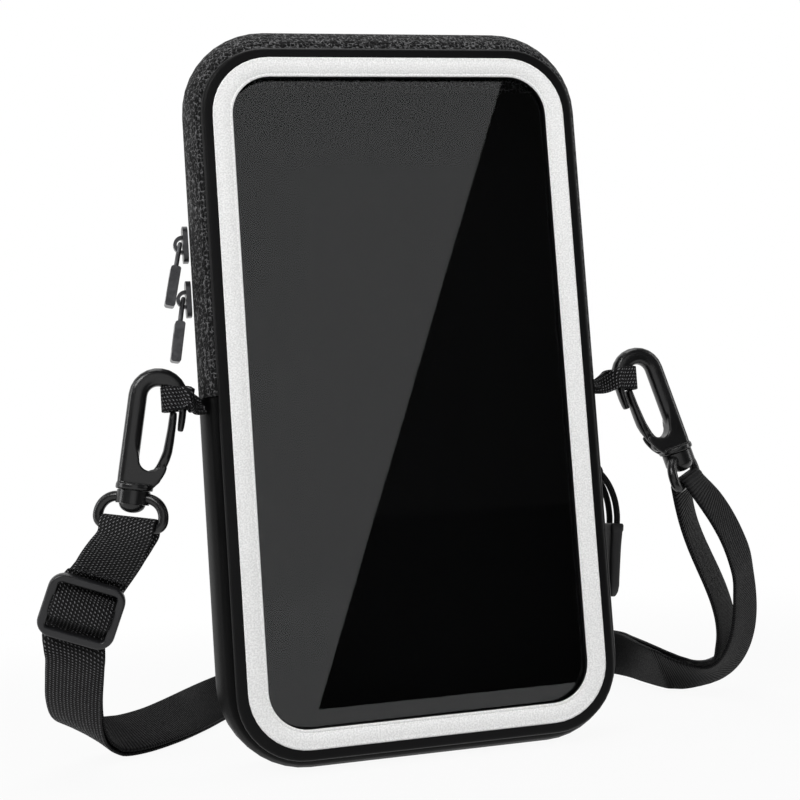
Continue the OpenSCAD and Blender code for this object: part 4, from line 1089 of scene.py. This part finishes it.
class POUCH_OT_strap(bpy.types.Operator):
    """Build the webbing: side loops, strap layers and the turns over both rings"""

    bl_idname = "pouch.strap"
    bl_label = "Build strap"

    def execute(self, context):
        steps = context.scene.pouch_strap.route_steps
        for side, root, nose in (("left", (-51.6, -5, 91.6), (-58.1, -3.5, 94.4)),
                                 ("right", (51.6, -3, 91.6), (62, 0, 94))):
            route = smooth_route(loop_route(root, nose), steps)
            obj, _ = ribbon_object(f"{side}_side_loop", route, LOOP_W, LOOP_T, self.gathered)
            settle(obj, "webbing", "webbing", [f"{side}_loop"], "pouch")
        self.whole(steps)
        self.tack(context.scene.pouch_strap.stitch_pitch)
        return {"FINISHED"}

    def gathered(self, t):
        """Share of a loop's width at share t of its length: the seams gather both ends"""
        return 0.42 + 0.54 * math.sin(math.pi * t) ** 0.6

    def whole(self, steps):
        """One continuous line, cut into a left end, an outer run, a right end and an inner run"""
        rows, marks = whole_strap(steps)
        line = smooth_route(rows, steps)
        frames = frames_of(line)
        last = len(line) - 1
        # Points of the line at which the pieces end, then rows of the route that lie within the adjuster
        cuts = [0, (marks[2] + 5) * steps, (marks[5] - 3) * steps, (marks[6] + 4) * steps, last]
        snug = [(marks[2] + 3, marks[2] + 10), (marks[8] - 1, marks[8] + 7)]

        def widths(t):
            """A little wider within the adjuster, so that no gap shows at its sides"""
            row, more = t * last / steps, 0.045
            return max([1.0] + [1 + more * min(1, max(0, row - a), max(0, b - row)) for a, b in snug])

        made = []
        run = 0.0
        for name, a, b in zip(("left_end_webbing", "outer_webbing", "right_end_webbing", "inner_webbing"),
                              cuts, cuts[1:]):
            start = run
            obj, run = ribbon_object(name, line, WEB_W, WEB_T, widths, (a, b), frames, start)
            made.append((obj, (WEB_W * MM, (run - start) * MM)))
        (left, left_size), (outer, outer_size), (right, right_size), (inner, inner_size) = made
        settle(left, "webbing", "webbing", ("left_strap_turn", "left_tab_fold"))
        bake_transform(left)
        settle(right, "webbing_back", "webbing", ("right_strap_turn",))
        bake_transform(right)
        settle(outer, "webbing", "webbing", ("strap_outer_layer",), "pouch")
        settle(inner, "webbing_back", "webbing", ("strap_inner_layer",), "pouch")
        self.far_side(outer)

    def far_side(self, obj):
        """The strap's other side is ribbed: it shows where the strap has turned over"""
        obj.data.materials.append(FINISHES["webbing_back"])
        sides = len(BAND_SECTION)
        for face in obj.data.polygons:
            if face.index % sides >= sides // 2:
                face.material_index = 1

    def tack(self, pitch):
        """Two rows of zigzag stitches where the tab's end is sewn down, which leans as the tab does"""
        foot, step, count = 9.6, 0.55, 25
        paths = []
        for row in (10.1, 11.6):
            left = 1.8 + (row - foot) * 0.16 - step * (count - 1) / 2
            heights = [row + (step if i % 2 else -step) for i in range(count)]
            paths.append([on_glide(left + step * i, -0.12 - 0.04 * (z - foot), z - 0.1)
                          for i, z in enumerate(heights)])
        stitched("tab_stitches", paths, pitch * 0.5, 0.75 * MM, 0.28 * MM, "pouch")


class POUCH_OT_stage(bpy.types.Operator):
    """Set up the camera, the pale floor and the soft lights"""

    bl_idname = "pouch.stage"
    bl_label = "Build stage"

    EYE = Vector((-82.896, -350.194, 67.582))

    def camera(self, settings):
        right, up, ahead = (0.972, -0.2245, -0.069), (0.0522, -0.08, 0.9954), (0.229, 0.9712, 0.066)
        data = bpy.data.cameras.new("photo_camera")
        data.lens = settings.lens
        data.sensor_width = 36
        data.clip_start = 0.01
        cam = linked("photo_camera", data)
        axes = (Vector(right).normalized(), Vector(up).normalized(), -Vector(ahead).normalized())
        cam.matrix_world = Matrix.Translation(self.EYE * MM) @ Matrix(axes).transposed().to_4x4()
        bpy.context.scene.camera = cam

    def floor(self):
        """A white floor that fades into the backdrop away from the object and keeps its soft shadow"""
        f = Finish("pale_floor", (0.45, 0.45, 0.45), 0.8)
        where = f.node("ShaderNodeTexCoord").outputs["Object"]
        reach = f.node("ShaderNodeVectorMath", {0: where}, operation="LENGTH").outputs["Value"]
        fade = f.math("MULTIPLY", self.seen(f), f.ramp(reach, 0.16, 0.5, 0.93, 1.0))
        glow = f.node("ShaderNodeEmission").outputs["Emission"]
        f.surface(f.node("ShaderNodeMixShader", {"Fac": fade, 1: f.shader.outputs["BSDF"], 2: glow}).outputs[0])
        below = -0.0002
        self.plane("floor", [(-3, -3, below), (3, -3, below), (3, 3, below), (-3, 3, below)], f.mat)

    def seen(self, nodes, share=None):
        """One for rays that see the white ground: from the camera, and by share through glass or off gloss"""
        path = nodes.node("ShaderNodeLightPath").outputs
        other = nodes.math("MAXIMUM", path["Is Transmission Ray"], path["Is Glossy Ray"])
        if share:
            other = nodes.math("MULTIPLY", other, share)
        return nodes.math("MAXIMUM", path["Is Camera Ray"], other)

    def plane(self, name, corners, mat):
        mesh = bpy.data.meshes.new(name)
        mesh.from_pydata(corners, [], [(0, 1, 2, 3)])
        mesh.materials.append(mat)
        obj = linked(name, mesh)
        return obj

    def card(self, name, corners, strength):
        """A glowing card that only mirrors and glass show"""
        mat = bpy.data.materials.new(name)
        mat.use_nodes = True
        nodes = Nodes(mat.node_tree)
        nodes.surface(nodes.node("ShaderNodeEmission", {"Strength": strength}).outputs["Emission"])
        obj = self.plane(name, corners, mat)
        for ray in ("camera", "shadow", "diffuse"):
            setattr(obj, "visible_" + ray, False)

    def cards(self, strength):
        """A bright card in front, whose slanted edge the window mirrors as a diagonal, and a dark one below"""
        mirrored = Vector((self.EYE.x, -2 * GUSSET_HALF - self.EYE.y, self.EYE.z))
        depth = -620.0

        def seen_at(x, z):
            point = Vector((x, -GUSSET_HALF, z))
            return mirrored + (point - mirrored) * ((depth - mirrored.y) / (point.y - mirrored.y))

        top, foot = seen_at(31.0, 174.5), seen_at(-28.0, 18.0)
        beyond, wide = (top - foot).normalized() * 60, Vector((-430, 0, 40))
        a, b = top + beyond, foot - beyond
        self.card("light_card", [c * MM for c in (a, b, b + wide, a + wide)], strength)
        dark = [(-0.015, -0.1, 0.001), (1.2, -0.1, 0.001), (2.2, -3.2, 0.001), (0.658, -3.2, 0.001)]
        self.card("dark_cloth", dark, 0.02)

    def world(self):
        """White to the camera; other rays find it dark on the camera's side and grey beyond the object"""
        world = bpy.data.worlds.new("studio")
        bpy.context.scene.world = world
        world.use_nodes = True
        nodes = Nodes(world.node_tree)
        where = nodes.node("ShaderNodeTexCoord").outputs["Generated"]
        y = nodes.node("ShaderNodeSeparateXYZ", {"Vector": where}).outputs["Y"]
        white = self.seen(nodes, nodes.ramp(y, 0.3, 0.9, shape="LINEAR"))
        soft = nodes.ramp(y, -0.3, 0.6, 0.04, 0.6, "LINEAR")
        level = nodes.node("ShaderNodeMix", {"Factor": white, "A": soft, "B": 1.0}).outputs["Result"]
        back = world.node_tree.nodes["Background"].inputs
        nodes.feed(back["Strength"], level)
        back["Color"].default_value = (1, 1, 1, 1)

    def lamp(self, name, place, target, power, size, size_y=None, mirrored=True):
        data = bpy.data.lights.new(name, "AREA")
        data.energy = power
        data.shape = "RECTANGLE"
        data.size = size
        data.size_y = size_y or size
        obj = linked(name, data)
        obj.location = place
        obj.rotation_euler = (Vector(target) - Vector(place)).to_track_quat("-Z", "Y").to_euler()
        obj.visible_glossy = mirrored
        obj.visible_transmission = mirrored

    def execute(self, context):
        settings = context.scene.pouch_stage
        context.scene.view_settings.view_transform = "Standard"
        self.camera(settings)
        self.floor()
        self.world()
        self.cards(settings.card_glow)
        key = settings.key_power
        self.lamp("key_light", (-0.75, -0.75, 0.95), (0, 0, 0.09), key, 0.55)
        self.lamp("front_light", (0.3, -1.15, 0.5), (0, 0, 0.09), key * 0.6, 0.5, mirrored=False)
        self.lamp("top_light", (0.05, 0.15, 1.15), (0, 0, 0.1), key * 0.45, 0.7)
        self.lamp("left_strip", (-0.85, 0.05, 0.35), (-0.06, 0, 0.08), key * 0.22, 0.18, 0.7)
        self.lamp("right_strip", (0.85, -0.25, 0.35), (0.06, 0, 0.08), key * 0.2, 0.18, 0.7)
        return {"FINISHED"}


class POUCH_PT_panel(bpy.types.Panel):
    """Shows the pouch's settings and a button for each build step"""

    bl_label = "Pouch"
    bl_idname = "POUCH_PT_panel"
    bl_space_type = "VIEW_3D"
    bl_region_type = "UI"
    bl_category = "Pouch"

    def draw(self, context):
        for group in ("pouch_shell", "pouch_strap", "pouch_hardware", "pouch_stage"):
            settings = getattr(context.scene, group)
            box = self.layout.box()
            for key in settings.__annotations__:
                box.prop(settings, key)
        for operator in BUILD_ORDER:
            self.layout.operator(operator.bl_idname)


GROUPS = {"pouch_shell": PouchShellSettings, "pouch_strap": StrapSettings,
          "pouch_hardware": HardwareSettings, "pouch_stage": StageSettings}
BUILD_ORDER = (POUCH_OT_finishes, POUCH_OT_stage, POUCH_OT_strap, POUCH_OT_front, POUCH_OT_shell, POUCH_OT_zips,
               POUCH_OT_hooks)


def register():
    for cls in (*GROUPS.values(), *BUILD_ORDER, POUCH_PT_panel):
        bpy.utils.register_class(cls)
    for name, group in GROUPS.items():
        setattr(bpy.types.Scene, name, PointerProperty(type=group))


def unregister():
    for name in GROUPS:
        delattr(bpy.types.Scene, name)
    for cls in (POUCH_PT_panel, *reversed(BUILD_ORDER), *GROUPS.values()):
        bpy.utils.unregister_class(cls)


def main():
    register()
    bpy.ops.pouch.finishes()
    bpy.ops.pouch.stage()
    bpy.ops.pouch.strap()
    bpy.ops.pouch.front()
    bpy.ops.pouch.shell()
    bpy.ops.pouch.zips()
    bpy.ops.pouch.hooks()


if __name__ == "__main__":
    main()
